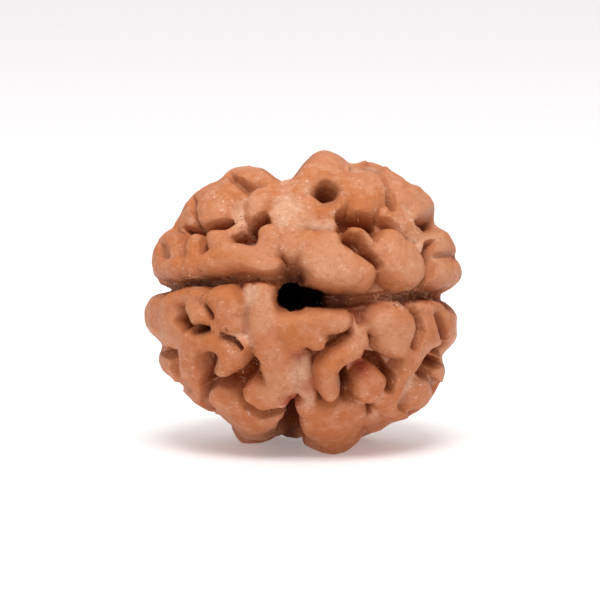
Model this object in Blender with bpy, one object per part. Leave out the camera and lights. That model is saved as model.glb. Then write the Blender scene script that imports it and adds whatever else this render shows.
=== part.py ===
"""Two mukhi rudraksha: one ridged stone, drilled from front to back, resting on a small flat spot.

Metres, +Z up. The drilled hole runs along Y and the better face looks along -Y. The origin is the middle
of the bead's footprint, on the surface that it rests on. The two mukhi lines run round the sides from one
mouth of the hole to the other.
"""

import math

import bpy
import numpy as np
from mathutils import Vector, noise

# Driving dimensions, in metres
BEAD_WIDTH = 0.0190
BEAD_DEPTH = 0.0168
BEAD_HEIGHT = 0.0179
HOLE_DIAMETER = 0.0015
HOLE_SIDES = 24
REST_CUT = 0.00035

# The ridges below are laid out in millimetres on a bead 19 mm wide, as seen from 7 degrees above the front
DRAWN_WIDTH = 19.0
SCALE = BEAD_WIDTH / DRAWN_WIDTH
VIEW_TILT = math.radians(7.0)
HALF = np.array([BEAD_WIDTH, BEAD_DEPTH, BEAD_HEIGHT]) / 2 / SCALE
HOLE_ACROSS = -0.7
HOLE_UP = 1.07

# Relief, in millimetres below the smooth outer form
FLOOR_DEPTH = 1.15
SHOULDER = 2.2
PIT_WALL = 3.0
DEPTH_SQUASH = 0.45
WANDER = 0.16
WANDER_LENGTH = 1.5
WANDER_SEED = 1795626470
LUMP = 0.07
LUMP_LENGTH = 2.3
FULLNESS = 1.12
RIM_REACH = 0.055
FACE_REACH = 0.045
ROUNDING = np.radians([-1.6, -0.8, 0.0, 0.8, 1.6])

# Mesh
FINENESS = 8
TRIANGLES = 11000

# Outline of the bead in the front view, clockwise from the notch at the top: across, up
OUTLINE = [
    (-1.0, 7.0), (-0.5, 7.5), (0.0, 8.25), (0.7, 8.85), (1.4, 8.95), (2.3, 8.6), (2.6, 8.25), (3.1, 8.15),
    (3.9, 8.35), (4.8, 8.05), (5.35, 7.55), (5.9, 7.35), (6.3, 6.95), (7.0, 6.8), (7.7, 6.05), (7.87, 5.6),
    (7.75, 4.75), (8.0, 4.4), (8.7, 4.0), (9.05, 3.1), (9.1, 2.5), (9.45, 1.8), (9.35, 1.1), (8.6, 0.6),
    (8.0, 0.2), (8.5, -0.15), (9.1, -0.7), (9.15, -2.2), (8.8, -2.8), (8.17, -3.3), (8.48, -4.4),
    (8.1, -5.3), (7.4, -6.2), (6.4, -6.9), (5.1, -7.35), (4.3, -7.9), (3.5, -8.0), (2.5, -8.75),
    (1.6, -8.95), (0.3, -8.5), (-0.6, -8.0), (-1.6, -8.0), (-2.5, -8.35), (-3.5, -8.25),
    (-4.2, -7.5), (-4.9, -6.95), (-5.8, -6.6), (-6.5, -6.1), (-7.45, -5.1), (-8.4, -4.2), (-8.7, -3.4),
    (-8.38, -2.7), (-9.0, -2.1), (-9.45, -1.3), (-9.4, -0.4), (-9.0, 0.4), (-8.5, 0.55), (-8.7, 1.0),
    (-9.0, 1.5), (-8.92, 3.0), (-8.6, 3.6), (-8.2, 4.02), (-7.75, 4.25), (-7.4, 5.05), (-6.9, 6.0),
    (-6.1, 6.65),
    (-5.1, 7.05), (-4.85, 7.1), (-4.5, 7.6), (-4.0, 7.85), (-3.2, 8.0), (-2.4, 7.9), (-1.5, 7.15),
]

# Ridges and knobs. Each is a run of stations: across, up, half width, height above the smooth outer form
UPPER_LEFT = [
    [(-4.3, 7.3, 0.75, 0), (-3.6, 7.5, 0.8, 0), (-2.8, 7.5, 0.8, 0), (-2.0, 7.1, 0.7, -0.1)],
    [(-4.7, 6.6, 0.8, 0.1), (-5.2, 5.9, 0.98, 0.15), (-5.4, 5.25, 0.98, 0.2), (-5.75, 4.8, 0.62, 0.15)],
    [(-4.6, 6.7, 0.55, 0), (-3.9, 6.3, 0.65, -0.1), (-3.85, 5.5, 0.7, -0.35), (-3.9, 4.6, 0.65, -0.5)],
    [(-5.5, 6.7, 0.6, -0.1), (-6.1, 6.3, 0.7, -0.05), (-6.7, 5.8, 0.75, -0.05), (-7.05, 5.3, 0.62, -0.1),
     (-7.45, 4.6, 0.5, -0.3)],
    [(-7.95, 3.75, 0.6, 0), (-8.35, 3.2, 0.65, 0), (-8.5, 2.0, 0.6, 0)],
    [(-7.5, 3.6, 0.5, -0.05), (-7.6, 2.0, 0.5, -0.1)],
    [(-6.4, 3.45, 0.6, 0), (-6.6, 2.0, 0.65, 0)],
    [(-8.4, 1.9, 0.6, 0), (-7.0, 2.0, 0.65, -0.05), (-5.6, 2.25, 0.75, 0), (-4.0, 2.35, 0.8, 0.05)],
    [(-5.1, 3.6, 0.7, 0), (-4.9, 3.0, 0.8, 0), (-4.2, 2.6, 0.85, 0.05), (-3.2, 2.45, 0.85, 0.1),
     (-2.3, 2.4, 0.85, 0.15), (-2.0, 3.2, 0.85, 0.15), (-2.0, 3.85, 0.8, 0.1)],
    [(-3.2, 2.1, 0.5, 0.1), (-2.3, 1.85, 0.55, 0.1), (-1.6, 2.0, 0.5, 0)],
    [(-1.7, 6.4, 0.55, -0.2), (-2.4, 6.15, 0.8, 0.05), (-2.75, 5.55, 0.8, 0.1), (-3.0, 5.05, 0.55, 0)],
    [(-3.7, 6.95, 0.5, -0.3), (-3.0, 6.85, 0.5, -0.3)],
    [(-5.1, 3.6, 0.7, 0), (-4.4, 3.9, 0.5, -0.15), (-3.9, 4.25, 0.5, -0.4)],
]
VALLEY = [
    [(-1.0, 7.0, 1.0, -0.3), (-0.9, 5.2, 1.15, -0.4), (-0.8, 4.0, 1.0, -0.25), (-0.6, 3.0, 0.8, -0.15)],
    [(0.3, 5.0, 1.0, -0.35), (1.2, 4.8, 1.0, -0.3)],
    [(-1.9, 5.4, 0.6, -0.5), (-1.5, 5.1, 0.6, -0.4)],
]
UPPER_RIGHT = [
    [(-0.3, 6.6, 0.8, -0.2), (0.3, 7.6, 0.85, 0), (1.2, 8.0, 0.95, 0), (2.0, 7.6, 0.85, 0),
     (2.5, 6.9, 0.6, 0)],
    [(0.0, 6.1, 0.6, -0.3), (1.0, 5.3, 0.6, -0.2), (1.9, 5.5, 0.55, -0.1), (2.5, 6.2, 0.5, 0)],
    [(3.2, 6.5, 1.15, 0.15), (3.9, 6.25, 1.2, 0.15), (3.7, 5.95, 1.1, 0.1)],
    [(2.8, 7.8, 0.5, -0.1), (3.6, 8.0, 0.5, 0), (4.5, 7.75, 0.5, 0), (5.2, 7.3, 0.5, 0), (5.9, 6.9, 0.5, 0)],
    [(4.2, 7.4, 0.45, -0.15), (5.0, 7.0, 0.45, -0.15), (5.6, 6.5, 0.45, -0.1)],
    [(5.8, 6.2, 0.85, 0), (6.5, 6.1, 0.9, 0), (7.0, 5.6, 0.9, 0)],
    [(5.0, 5.3, 0.45, -0.2), (5.7, 4.95, 0.5, -0.15), (6.3, 4.5, 0.5, -0.15), (6.9, 3.8, 0.45, -0.2)],
    [(7.9, 3.6, 0.8, 0), (8.4, 3.1, 0.75, 0)],
    [(7.9, 1.7, 0.85, -0.05), (8.8, 1.6, 0.85, 0)],
    [(7.3, 3.3, 0.5, -0.3), (8.2, 2.65, 0.6, -0.15)],
    [(5.2, 3.1, 1.15, 0.15), (5.65, 2.4, 1.35, 0.25), (6.0, 1.95, 1.3, 0.2)],
    [(2.8, 4.05, 0.3, -0.1), (3.2, 4.1, 0.3, -0.1), (3.55, 3.8, 0.3, -0.1), (3.85, 3.3, 0.3, -0.1),
     (4.1, 2.7, 0.3, -0.2)],
    [(0.3, 3.2, 1.0, 0.2), (1.3, 2.65, 1.15, 0.3), (2.4, 1.85, 1.1, 0.35), (3.4, 1.4, 0.92, 0.3)],
    [(1.2, 3.4, 0.8, 0.15), (1.7, 3.5, 0.6, 0.1)],
    [(0.6, 2.2, 0.9, 0.2), (1.6, 1.6, 1.0, 0.3), (2.9, 1.4, 0.95, 0.3)],
]
LOWER_LEFT = [
    [(-5.1, 0.15, 0.8, 0.1), (-4.6, -0.1, 1.0, 0.15), (-4.4, -0.8, 0.9, 0.1), (-4.2, -1.5, 0.75, 0)],
    [(-7.8, 0.2, 0.6, 0), (-7.0, 0.3, 0.6, -0.05), (-6.2, 0.3, 0.6, -0.05)],
    [(-8.9, -0.1, 0.6, 0), (-9.0, -0.9, 0.6, 0), (-8.8, -1.6, 0.6, 0)],
    [(-8.0, -0.2, 0.6, 0), (-8.0, -1.0, 0.6, 0), (-7.8, -1.7, 0.6, 0)],
    [(-6.5, -0.5, 0.6, 0), (-6.2, -1.0, 0.62, 0), (-5.8, -1.1, 0.5, 0)],
    [(-8.0, -2.2, 0.65, 0), (-7.0, -2.3, 0.75, 0), (-6.2, -2.5, 0.7, 0), (-5.4, -2.5, 0.65, -0.1),
     (-4.8, -2.8, 0.6, 0)],
    [(-8.2, -3.2, 0.6, -0.2), (-8.1, -3.9, 0.65, -0.15), (-7.6, -4.7, 0.65, -0.15), (-7.0, -5.4, 0.6, -0.2)],
    [(-6.9, -2.9, 0.7, 0), (-6.8, -4.2, 0.8, 0.05), (-6.4, -4.9, 0.7, 0), (-6.2, -5.4, 0.6, -0.1)],
    [(-6.8, -5.6, 0.5, -0.2), (-6.2, -6.0, 0.5, -0.2), (-5.7, -6.3, 0.5, -0.2)],
    [(-4.1, -2.9, 1.0, 0.1), (-4.3, -3.4, 0.92, 0.15), (-4.65, -4.0, 0.68, 0.15)],
    [(-5.2, -5.6, 0.65, 0), (-4.6, -6.2, 0.85, 0), (-3.7, -6.9, 0.95, 0.05), (-2.8, -7.3, 0.95, 0),
     (-2.0, -7.3, 0.7, -0.1), (-1.45, -6.9, 0.55, -0.15)],
    [(-3.0, -5.5, 0.75, 0.1), (-2.4, -5.75, 0.9, 0.15), (-1.8, -5.7, 0.85, 0.1), (-1.3, -5.9, 0.5, 0)],
    [(-5.2, -1.2, 0.5, -0.2), (-5.0, -2.1, 0.5, -0.25)],
    [(-4.7, -2.2, 0.5, -0.45), (-3.7, -2.5, 0.5, -0.45)],
    [(-5.7, -0.5, 0.5, -0.35), (-5.5, -0.9, 0.5, -0.35)],
]
COLUMN = [
    [(-2.3, 0.5, 0.75, -0.25), (-2.3, -0.8, 0.95, 0), (-2.2, -1.8, 1.05, 0.05), (-1.8, -2.8, 1.25, 0),
     (-1.5, -3.8, 1.2, -0.15), (-1.4, -4.8, 1.1, -0.2)],
    [(-3.2, 0.5, 0.6, -0.55), (-3.2, -0.6, 0.6, -0.5), (-3.2, -2.2, 0.6, -0.4)],
    [(-1.7, -1.3, 0.8, 0.05), (-0.8, -1.6, 0.85, 0.1), (-0.4, -2.3, 0.8, 0)],
]
LOWER_RIGHT = [
    [(-1.0, -1.45, 0.85, 0.1), (0.3, -1.3, 0.9, 0.2), (1.4, -1.2, 0.88, 0.2), (2.2, -1.2, 0.78, 0.15)],
    [(0.5, -2.1, 0.8, 0.1), (0.8, -2.35, 0.72, 0.1)],
    [(2.85, -2.85, 0.72, 0.1), (2.0, -3.35, 0.7, 0.15), (1.4, -4.0, 0.78, 0.2), (1.4, -4.8, 0.8, 0.2),
     (1.6, -5.3, 0.65, 0.15)],
    [(4.75, -1.25, 1.05, 0.15), (5.5, -1.45, 1.22, 0.25), (5.35, -2.3, 1.1, 0.2)],
    [(3.85, -5.2, 1.0, 0.15), (4.0, -4.95, 0.95, 0.1)],
    [(-0.1, -6.6, 0.5, -0.15), (0.3, -6.7, 0.7, -0.1), (1.3, -7.1, 1.0, 0.1), (2.3, -7.1, 1.05, 0.1),
     (3.2, -6.8, 0.8, -0.05)],
    [(0.5, -7.6, 0.8, 0), (1.3, -7.8, 1.1, 0.1), (2.2, -7.8, 1.1, 0.1), (2.7, -7.5, 0.8, 0)],
    [(3.3, -1.1, 0.5, -0.45), (3.45, -2.4, 0.55, -0.2)],
    [(-0.2, -3.6, 0.7, -0.55), (0.0, -5.0, 0.7, -0.55), (0.3, -5.8, 0.6, -0.5)],
    [(-0.9, -5.0, 0.7, -0.35), (-0.9, -5.8, 0.5, -0.6)],
    [(6.9, -0.3, 0.45, -0.1), (7.7, -0.45, 0.45, -0.1), (8.2, -0.4, 0.45, -0.1)],
    [(7.3, -0.8, 0.55, -0.1), (7.45, -1.6, 0.65, 0), (7.4, -2.3, 0.85, 0.05), (6.7, -3.2, 0.6, -0.05),
     (6.2, -4.0, 0.6, -0.15), (5.8, -4.9, 0.6, -0.2), (5.4, -5.7, 0.6, -0.2), (4.8, -6.4, 0.5, -0.25)],
    [(8.7, -0.9, 0.5, 0), (8.8, -1.6, 0.5, 0), (8.8, -2.2, 0.5, 0)],
    [(7.95, -3.6, 0.5, 0), (8.1, -4.3, 0.6, 0), (7.8, -5.1, 0.6, 0), (7.2, -5.8, 0.6, 0),
     (6.4, -6.4, 0.6, 0), (5.5, -6.8, 0.6, 0)],
    [(6.8, -4.9, 0.55, -0.05), (6.5, -5.4, 0.65, -0.05), (6.1, -5.9, 0.6, -0.15)],
    [(5.6, -6.2, 0.5, -0.1), (4.9, -6.8, 0.5, -0.2)],
    [(4.3, -7.1, 0.5, -0.3), (3.9, -7.5, 0.5, -0.3)],
]
RIDGES = UPPER_LEFT + VALLEY + UPPER_RIGHT + LOWER_LEFT + COLUMN + LOWER_RIGHT

# Pits and cracks: across, up, half width, depth below the smooth outer form
PITS = [
    [(1.3, 6.5, 0.55, 2.2), (1.55, 6.4, 0.45, 3.2)],
    [(-4.4, 4.75, 0.22, 1.5), (-4.9, 4.45, 0.18, 1.6), (-5.7, 4.1, 0.16, 1.7)],
    [(-7.1, 4.3, 0.2, 1.2), (-6.6, 4.3, 0.25, 1.5), (-6.1, 4.15, 0.2, 1.6)],
    [(-2.2, 5.0, 0.2, 1.6), (-2.6, 4.7, 0.2, 1.8), (-3.1, 4.25, 0.22, 1.9)],
    [(-4.0, 3.6, 0.18, 1.4), (-3.55, 3.7, 0.32, 1.6), (-3.2, 3.7, 0.42, 1.7)],
    [(2.2, 4.9, 0.38, 1.4), (3.2, 4.7, 0.44, 1.7), (4.15, 4.45, 0.48, 2.3)],
    [(2.7, 3.6, 0.28, 1.5), (3.1, 2.95, 0.32, 1.5), (3.75, 2.5, 0.26, 1.6), (4.35, 1.9, 0.2, 1.7)],
    [(7.2, 4.45, 0.22, 1.8), (6.75, 4.55, 0.2, 1.4)],
    [(5.15, 5.7, 0.2, 1.3)],
    [(-7.15, -0.75, 0.2, 1.6), (-7.3, -1.15, 0.24, 1.8), (-7.05, -1.6, 0.2, 1.6)],
    [(-6.3, -1.75, 0.26, 1.7), (-5.95, -1.7, 0.26, 1.7)],
    [(-5.85, -0.35, 0.12, 0.8), (-5.3, -0.95, 0.14, 0.9)],
    [(-4.7, -2.0, 0.16, 0.7), (-4.1, -2.25, 0.2, 0.85), (-3.6, -2.7, 0.16, 0.75)],
    [(-5.5, -3.5, 0.32, 2.0), (-5.6, -4.1, 0.3, 2.0), (-5.8, -4.9, 0.22, 1.7)],
    [(-5.2, -4.75, 0.26, 1.7), (-4.3, -5.05, 0.3, 1.6), (-3.7, -4.85, 0.34, 1.9)],
    [(-3.4, -4.5, 0.4, 2.1), (-2.85, -3.7, 0.34, 1.7)],
    [(2.5, -4.4, 0.3, 2.3), (2.55, -5.0, 0.34, 2.6), (2.4, -5.8, 0.26, 2.3)],
    [(4.0, -3.5, 0.3, 1.8), (4.7, -3.8, 0.4, 2.0), (5.15, -4.5, 0.28, 1.8), (5.1, -5.3, 0.22, 1.6)],
    [(3.35, -0.6, 0.3, 1.2), (3.45, -1.3, 0.3, 0.9)],
    [(7.7, -3.5, 0.24, 1.7), (7.25, -3.7, 0.3, 1.9), (6.95, -4.15, 0.28, 1.8)],
    [(8.1, -1.1, 0.16, 1.5), (8.2, -2.2, 0.2, 1.5)],
    [(4.05, -6.65, 0.13, 1.1), (4.25, -6.4, 0.11, 1.0)],
]

# Fine creases where two lobes meet: across, up, half width, depth
CREASES = [
    [(-5.3, -4.9, 0.25, 1.2), (-5.8, -5.3, 0.25, 1.1), (-5.85, -6.0, 0.22, 0.8), (-5.4, -6.6, 0.2, 0.5)],
    [(-4.1, 7.05, 0.3, 0.4), (-3.5, 6.75, 0.36, 0.7), (-2.9, 6.65, 0.3, 0.6), (-2.2, 6.75, 0.22, 0.3)],
    [(7.35, 3.3, 0.22, 1.0), (7.45, 2.4, 0.26, 1.1), (7.3, 1.4, 0.26, 1.1), (6.9, 0.8, 0.22, 1.0)],
    [(7.4, 2.6, 0.22, 0.5), (8.2, 2.6, 0.22, 0.35), (9.0, 2.45, 0.22, 0.3)],
    [(2.9, 7.65, 0.22, 0.4), (3.6, 7.6, 0.22, 0.5), (4.2, 7.25, 0.22, 0.6), (4.7, 6.6, 0.24, 0.8),
     (5.0, 5.9, 0.26, 1.0), (5.2, 5.4, 0.26, 1.0)],
    [(-6.25, 5.7, 0.2, 0.5), (-6.42, 5.2, 0.26, 1.1), (-6.3, 4.5, 0.26, 1.4)],
    [(-8.0, 3.2, 0.24, 0.3), (-8.0, 2.6, 0.24, 0.4)],
    [(-7.2, 3.8, 0.22, 0.8), (-7.1, 2.6, 0.2, 0.6)],
    [(-5.85, 3.9, 0.22, 1.0), (-5.85, 2.8, 0.2, 0.8)],
    [(-3.8, -5.3, 0.26, 1.3), (-3.3, -6.2, 0.26, 1.2), (-2.4, -6.65, 0.26, 1.2), (-1.5, -6.5, 0.26, 1.4)],
    [(-8.1, -2.95, 0.22, 0.9), (-7.5, -3.4, 0.24, 1.1), (-7.35, -4.2, 0.24, 1.0), (-7.0, -4.8, 0.24, 0.7),
     (-6.7, -5.2, 0.22, 0.3)],
    [(6.75, -1.1, 0.26, 0.9), (6.85, -1.8, 0.31, 1.1), (6.5, -2.7, 0.22, 0.9)],
    [(1.4, -2.6, 0.26, 1.2), (2.2, -2.15, 0.26, 1.2)],
    [(6.5, -4.4, 0.24, 0.6), (6.0, -5.2, 0.24, 0.45), (5.6, -6.1, 0.24, 0.5)],
    [(7.4, -4.6, 0.26, 0.7), (7.2, -5.3, 0.26, 0.6), (6.6, -5.95, 0.24, 0.5), (5.9, -6.35, 0.22, 0.4)],
]

# The deep cleft between the two lowest lobes, on the front only
CLEFT = [(-0.95, -6.3, 0.16, 1.8), (-0.9, -6.9, 0.32, 2.6), (-0.9, -7.5, 0.6, 3.0), (-0.85, -8.0, 0.85, 2.4)]

# The two mukhi lines on the front, and where they turn round the sides
LEFT_LINE = [(-1.3, 1.25, 0.5, 1.3), (-2.2, 1.3, 0.28, 0.8), (-3.2, 1.35, 0.32, 1.1), (-4.0, 1.38, 0.32, 1.3),
             (-5.0, 1.33, 0.27, 1.5), (-6.0, 1.24, 0.25, 1.6), (-7.0, 1.18, 0.25, 1.6),
             (-8.0, 0.95, 0.26, 1.6)]
RIGHT_LINE = [(0.3, 0.3, 0.72, 2.4), (1.2, 0.05, 0.55, 2.2), (2.2, 0.0, 0.45, 2.0), (3.0, 0.0, 0.4, 1.9),
              (4.0, 0.12, 0.34, 1.7), (5.0, 0.18, 0.32, 1.5), (6.0, 0.15, 0.32, 1.5), (7.0, 0.33, 0.3, 1.6),
              (8.0, 0.25, 0.3, 1.6)]
HOLE_MOUTH = [(-1.05, 0.05, 0.6, 2.3), (-0.4, 0.1, 0.75, 2.4), (-0.4, 0.55, 0.75, 2.3),
              (-1.0, 0.55, 0.62, 2.2), (-0.6, 1.25, 0.72, 1.8)]
LEFT_TURN = (-9.45, 0.0, 0.6, 0.36, 0.8)
RIGHT_TURN = (9.45, 0.0, 0.25, 0.36, 0.8)

# Lobes on the crown and the underside, seen from above: across, forward and back, half width, height
CROWN = [
    [(-6.0, 0.8, 0.8, 0), (-5.0, 1.8, 0.9, 0), (-3.8, 2.2, 0.9, 0)],
    [(-3.2, 0.8, 0.8, 0), (-2.2, 1.8, 0.9, 0), (-2.0, 3.0, 0.8, 0)],
    [(-0.4, 1.6, 0.7, -0.3), (-0.4, 3.2, 0.8, -0.3)],
    [(1.2, 1.0, 0.9, 0), (1.4, 2.2, 1.0, 0), (2.6, 2.9, 0.9, 0)],
    [(3.4, 1.0, 0.8, 0), (4.4, 1.6, 0.9, 0), (4.6, 2.8, 0.8, 0)],
    [(6.0, 0.8, 0.8, 0), (6.4, 1.9, 0.8, 0)],
]
UNDERSIDE = [
    [(-4.7, -0.7, 0.8, 0), (-3.6, -0.9, 0.8, 0), (-2.5, -0.7, 0.8, 0)],
    [(-5.4, 1.2, 0.9, 0), (-5.1, 2.4, 0.9, 0)],
    [(-3.7, 0.6, 1.0, 0.6), (-3.3, 1.5, 1.45, 0.8), (-2.9, 2.5, 1.6, 0.95), (-2.0, 3.3, 1.3, 0.8)],
    [(-1.2, 1.4, 0.8, 0), (-0.4, 2.2, 0.8, 0)],
    [(-0.8, 0.5, 0.9, 0.1), (-0.7, 2.0, 0.9, 0.3)],
    [(0.9, 0.2, 0.8, 0.05), (1.9, -0.4, 1.1, 0.15), (3.2, 0.5, 0.85, 0)],
    [(0.9, 2.8, 1.1, 0.5), (2.0, 3.0, 1.5, 0.8), (3.2, 2.8, 1.5, 0.95), (4.2, 2.0, 1.0, 0.5)],
    [(0.5, -2.6, 1.0, 0.3), (1.6, -2.9, 1.35, 0.6), (2.8, -2.4, 1.2, 0.4)],
    [(4.7, -0.4, 0.8, 0), (5.1, 1.0, 0.8, 0)],
    [(-0.4, 4.1, 0.8, 0), (0.8, 4.7, 0.8, 0)],
    [(-6.2, 0.2, 0.7, 0), (-6.4, 1.4, 0.7, 0)],
    [(6.6, 0.4, 0.7, 0), (6.4, 1.8, 0.7, 0)],
]

# The back repeats the front's pattern after a half turn, with each station moved a little
BACK_SEED = 12
BACK_SHIFT = 0.18

# Short creases across the sides, crown and underside, which part the long lobes there into knobs
SIDE_SEED = 5
SIDE_CREASES = 64
SIDE_LATITUDES = (8.0, 46.0)


def to_view(points):
    """Bead axes to the axes of the front view: across, away from the eye, up."""
    cos, sin = math.cos(VIEW_TILT), math.sin(VIEW_TILT)
    x, y, z = points.T
    return np.column_stack([x, y * cos - z * sin, y * sin + z * cos])


def from_view(points):
    """Front view axes back to the bead's own."""
    cos, sin = math.cos(VIEW_TILT), math.sin(VIEW_TILT)
    x, y, z = points.T
    return np.column_stack([x, y * cos + z * sin, -y * sin + z * cos])


def onto_form(across, up):
    """The point of the smooth outer form that lies under a point of the front view."""
    start = from_view(np.array([[across, 0.0, up]]))[0] / HALF
    ray = from_view(np.array([[0.0, -1.0, 0.0]]))[0] / HALF
    a, b, c = ray @ ray, start @ ray, start @ start - 1.0
    reach = (-b + math.sqrt(max(b * b - a * c, 0.0))) / a
    point = start + reach * ray
    return to_view((point / np.linalg.norm(point) * HALF)[None])[0]


def front_run(run):
    """A run on the front face, as rows of view position, half width and height or depth.

    The middle of the face stands nearer to the eye than the rim, and is drawn a little larger for it.
    """
    stations = []
    for across, up, width, height in run:
        inside = max(0.0, 1.0 - (across / HALF[0]) ** 2 - (up / HALF[2]) ** 2)
        larger = 1.0 + FACE_REACH * inside
        stations.append((*onto_form(across * larger, up * larger), width, height))
    return "front", np.array(stations)


def half_turned(run, rng):
    """The same run on the back, after a half turn about Z, shifted so that both hole mouths agree."""
    stations = run[1]
    own = from_view(stations[:, :3]) * (-1.0, -1.0, 1.0)
    fade = 1.0 - np.clip(np.abs(own[:, 0]) / HALF[0], 0.0, 1.0) ** 2
    own[:, 0] += 2.0 * HOLE_ACROSS * fade
    own += rng.normal(0.0, BACK_SHIFT, own.shape)
    own *= (1.0 / np.linalg.norm(own / HALF, axis=1))[:, None]
    return "back", np.column_stack([to_view(own), stations[:, 3:]])


def from_above(run, side):
    """A run given by where it is seen from above; side is +1 for the crown, -1 for the underside."""
    stations = []
    for across, along, width, height in run:
        up = side * HALF[2] * math.sqrt(1.0 - (across / HALF[0]) ** 2 - (along / HALF[1]) ** 2)
        stations.append((*to_view(np.array([[across, along, up]]))[0], width, height))
    return "round", np.array(stations)


def side_creases(rng):
    """Short curved creases spread evenly round the bead's rim, each crossing the lobes that run over it."""
    runs = []
    for index in range(SIDE_CREASES):
        bearing = 2.0 * math.pi * (index + rng.uniform(-0.4, 0.4)) / SIDE_CREASES
        latitude = math.radians(rng.uniform(*SIDE_LATITUDES))
        length = rng.uniform(0.9, 1.7)
        lean = rng.uniform(-0.9, 0.9)
        width = rng.uniform(0.35, 0.55)
        deep = rng.uniform(0.9, 1.3)
        stations = []
        for along in (-1.0, 0.0, 1.0):
            turn = bearing + along * length * math.cos(lean) / HALF[0]
            rise = latitude + along * length * math.sin(lean) / HALF[1] + 0.05 * along * along
            level = math.cos(rise)
            place = np.array([[math.cos(turn) * level, math.sin(rise), math.sin(turn) * level]])
            own = from_view(place)
            own /= np.linalg.norm(own / HALF)
            narrowing = 1.0 - 0.4 * abs(along)
            rising = 1.0 - 0.3 * abs(along)
            stations.append((*to_view(own)[0], width * narrowing, deep * rising))
        runs.append(("round", np.array(stations)))
    return runs


def mukhi_lines(rng):
    """The two lines, each from one mouth of the hole round a side to the other, and both mouths."""
    left, right, mouth = (front_run(run) for run in (LEFT_LINE, RIGHT_LINE, HOLE_MOUTH))
    far_left = half_turned(right, rng)[1][::-1]
    far_right = half_turned(left, rng)[1][::-1]
    return [
        ("round", np.vstack([left[1], LEFT_TURN, far_left])),
        ("round", np.vstack([right[1], RIGHT_TURN, far_right])),
        mouth,
        half_turned(mouth, rng),
    ]


def seen_from(points):
    """The points as each kind of run meets them.

    A run on the front or the back reaches straight through its face. Near the rim it is drawn out to the
    outline, and beyond the rim it fades with depth. A run that goes round the bead is met in space.
    """
    found = {"round": points}
    outward = np.hypot(points[:, 0] / HALF[0], points[:, 2] / HALF[2])
    inward = 1.0 - RIM_REACH * np.clip((outward - 0.8) / 0.2, 0.0, 1.0) ** 1.5
    for face, sign in (("front", 1.0), ("back", -1.0)):
        beyond = np.clip(sign * points[:, 1], 0.0, None) * DEPTH_SQUASH
        found[face] = np.column_stack([points[:, 0] * inward, beyond, points[:, 2] * inward])
    return found


def along_run(found, run):
    """For each stretch of a run, every point's distance over half width, and the height there."""
    face, stations = run
    points = found[face]
    if face != "round":
        stations = stations * (1.0, 0.0, 1.0, 1.0, 1.0)
    for start, end in zip(stations[:-1], stations[1:]):
        step = end[:3] - start[:3]
        t = np.clip((points - start[:3]) @ step / (step @ step), 0.0, 1.0)
        away = np.linalg.norm(points - start[:3] - t[:, None] * step, axis=1)
        width = start[3] + t * (end[3] - start[3])
        yield away / width, start[4] + t * (end[4] - start[4])


def wandered(points):
    """Points moved a little along a smooth noise, so that no ridge keeps a drawn edge."""
    noise.seed_set(WANDER_SEED)
    moved = [noise.noise_vector(Vector(p) / WANDER_LENGTH) for p in points]
    return points + WANDER * np.array(moved)


def relief(points, ridges, pits, creases, rim):
    """Depth of the stone's surface below its smooth outer form, at points of that form in view axes.

    On the rim itself, where the drawn outline already holds the relief, the ridges add little to it. Pits
    have steep walls, and creases have sloping ones.
    """
    found = seen_from(wandered(points))
    depth = np.full(len(points), FLOOR_DEPTH)
    for run in ridges:
        for ratio, height in along_run(found, run):
            ratio = np.clip(ratio / FULLNESS, 0.0, 1.0)
            fall = 1.0 - (1.0 - ratio ** SHOULDER) ** (1.0 / SHOULDER)
            depth = np.minimum(depth, (FLOOR_DEPTH + height) * fall - height)
    depth *= 1.0 - 0.85 * rim
    for run in pits:
        for ratio, deep in along_run(found, run):
            sunk = np.sqrt(1.0 - np.clip(ratio, 0.0, 1.0) ** PIT_WALL)
            depth += sunk * np.clip(deep - depth, 0.0, None)
    for run in creases:
        for ratio, deep in along_run(found, run):
            sunk = (1.0 - np.clip(ratio, 0.0, 1.0) ** 2) ** 1.5
            depth += sunk * np.clip(deep - depth, 0.0, None)
    lumps = np.array([noise.noise(Vector(p) / LUMP_LENGTH) for p in points])
    return depth + LUMP * lumps


def outline_gain(view):
    """How much further out than the smooth form the outline lies, fading away from the rim."""
    bearing = np.arctan2(view[:, 2], view[:, 0])
    drawn = np.array(OUTLINE)
    drawn_bearing = np.arctan2(drawn[:, 1], drawn[:, 0])
    order = np.argsort(drawn_bearing)
    rim_up = math.hypot(HALF[2] * math.cos(VIEW_TILT), HALF[1] * math.sin(VIEW_TILT))
    plain = 1.0 / np.hypot(np.cos(drawn_bearing) / HALF[0], np.sin(drawn_bearing) / rim_up)
    ratio = np.hypot(drawn[:, 0], drawn[:, 1]) / plain
    gain = np.mean([np.interp(bearing + turn, drawn_bearing[order], ratio[order], period=2.0 * math.pi)
                    for turn in ROUNDING], axis=0)
    latitude = np.degrees(np.arctan2(view[:, 1], np.hypot(view[:, 0], view[:, 2])))
    return 1.0 + (gain - 1.0) * np.exp(-((latitude / 24.0) ** 2)), np.exp(-((latitude / 8.0) ** 2))


def surface(directions):
    """Places of the stone's surface along the given directions from its middle, in millimetres as drawn."""
    rng = np.random.default_rng(BACK_SEED)
    front = [front_run(run) for run in RIDGES]
    ridges = front + [half_turned(run, rng) for run in front]
    ridges += [from_above(run, 1) for run in CROWN] + [from_above(run, -1) for run in UNDERSIDE]
    pits = [front_run(run) for run in PITS]
    pits += [half_turned(run, rng) for run in pits] + [front_run(CLEFT)] + mukhi_lines(rng)
    creases = [front_run(run) for run in CREASES]
    creases += [half_turned(run, rng) for run in creases] + side_creases(np.random.default_rng(SIDE_SEED))
    form = directions / np.linalg.norm(directions / HALF, axis=1)[:, None]
    view = to_view(form)
    gain, rim = outline_gain(view)
    depth = relief(view, ridges, pits, creases, rim)
    reach = np.linalg.norm(form, axis=1) * gain - depth
    return directions * reach[:, None]


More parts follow.
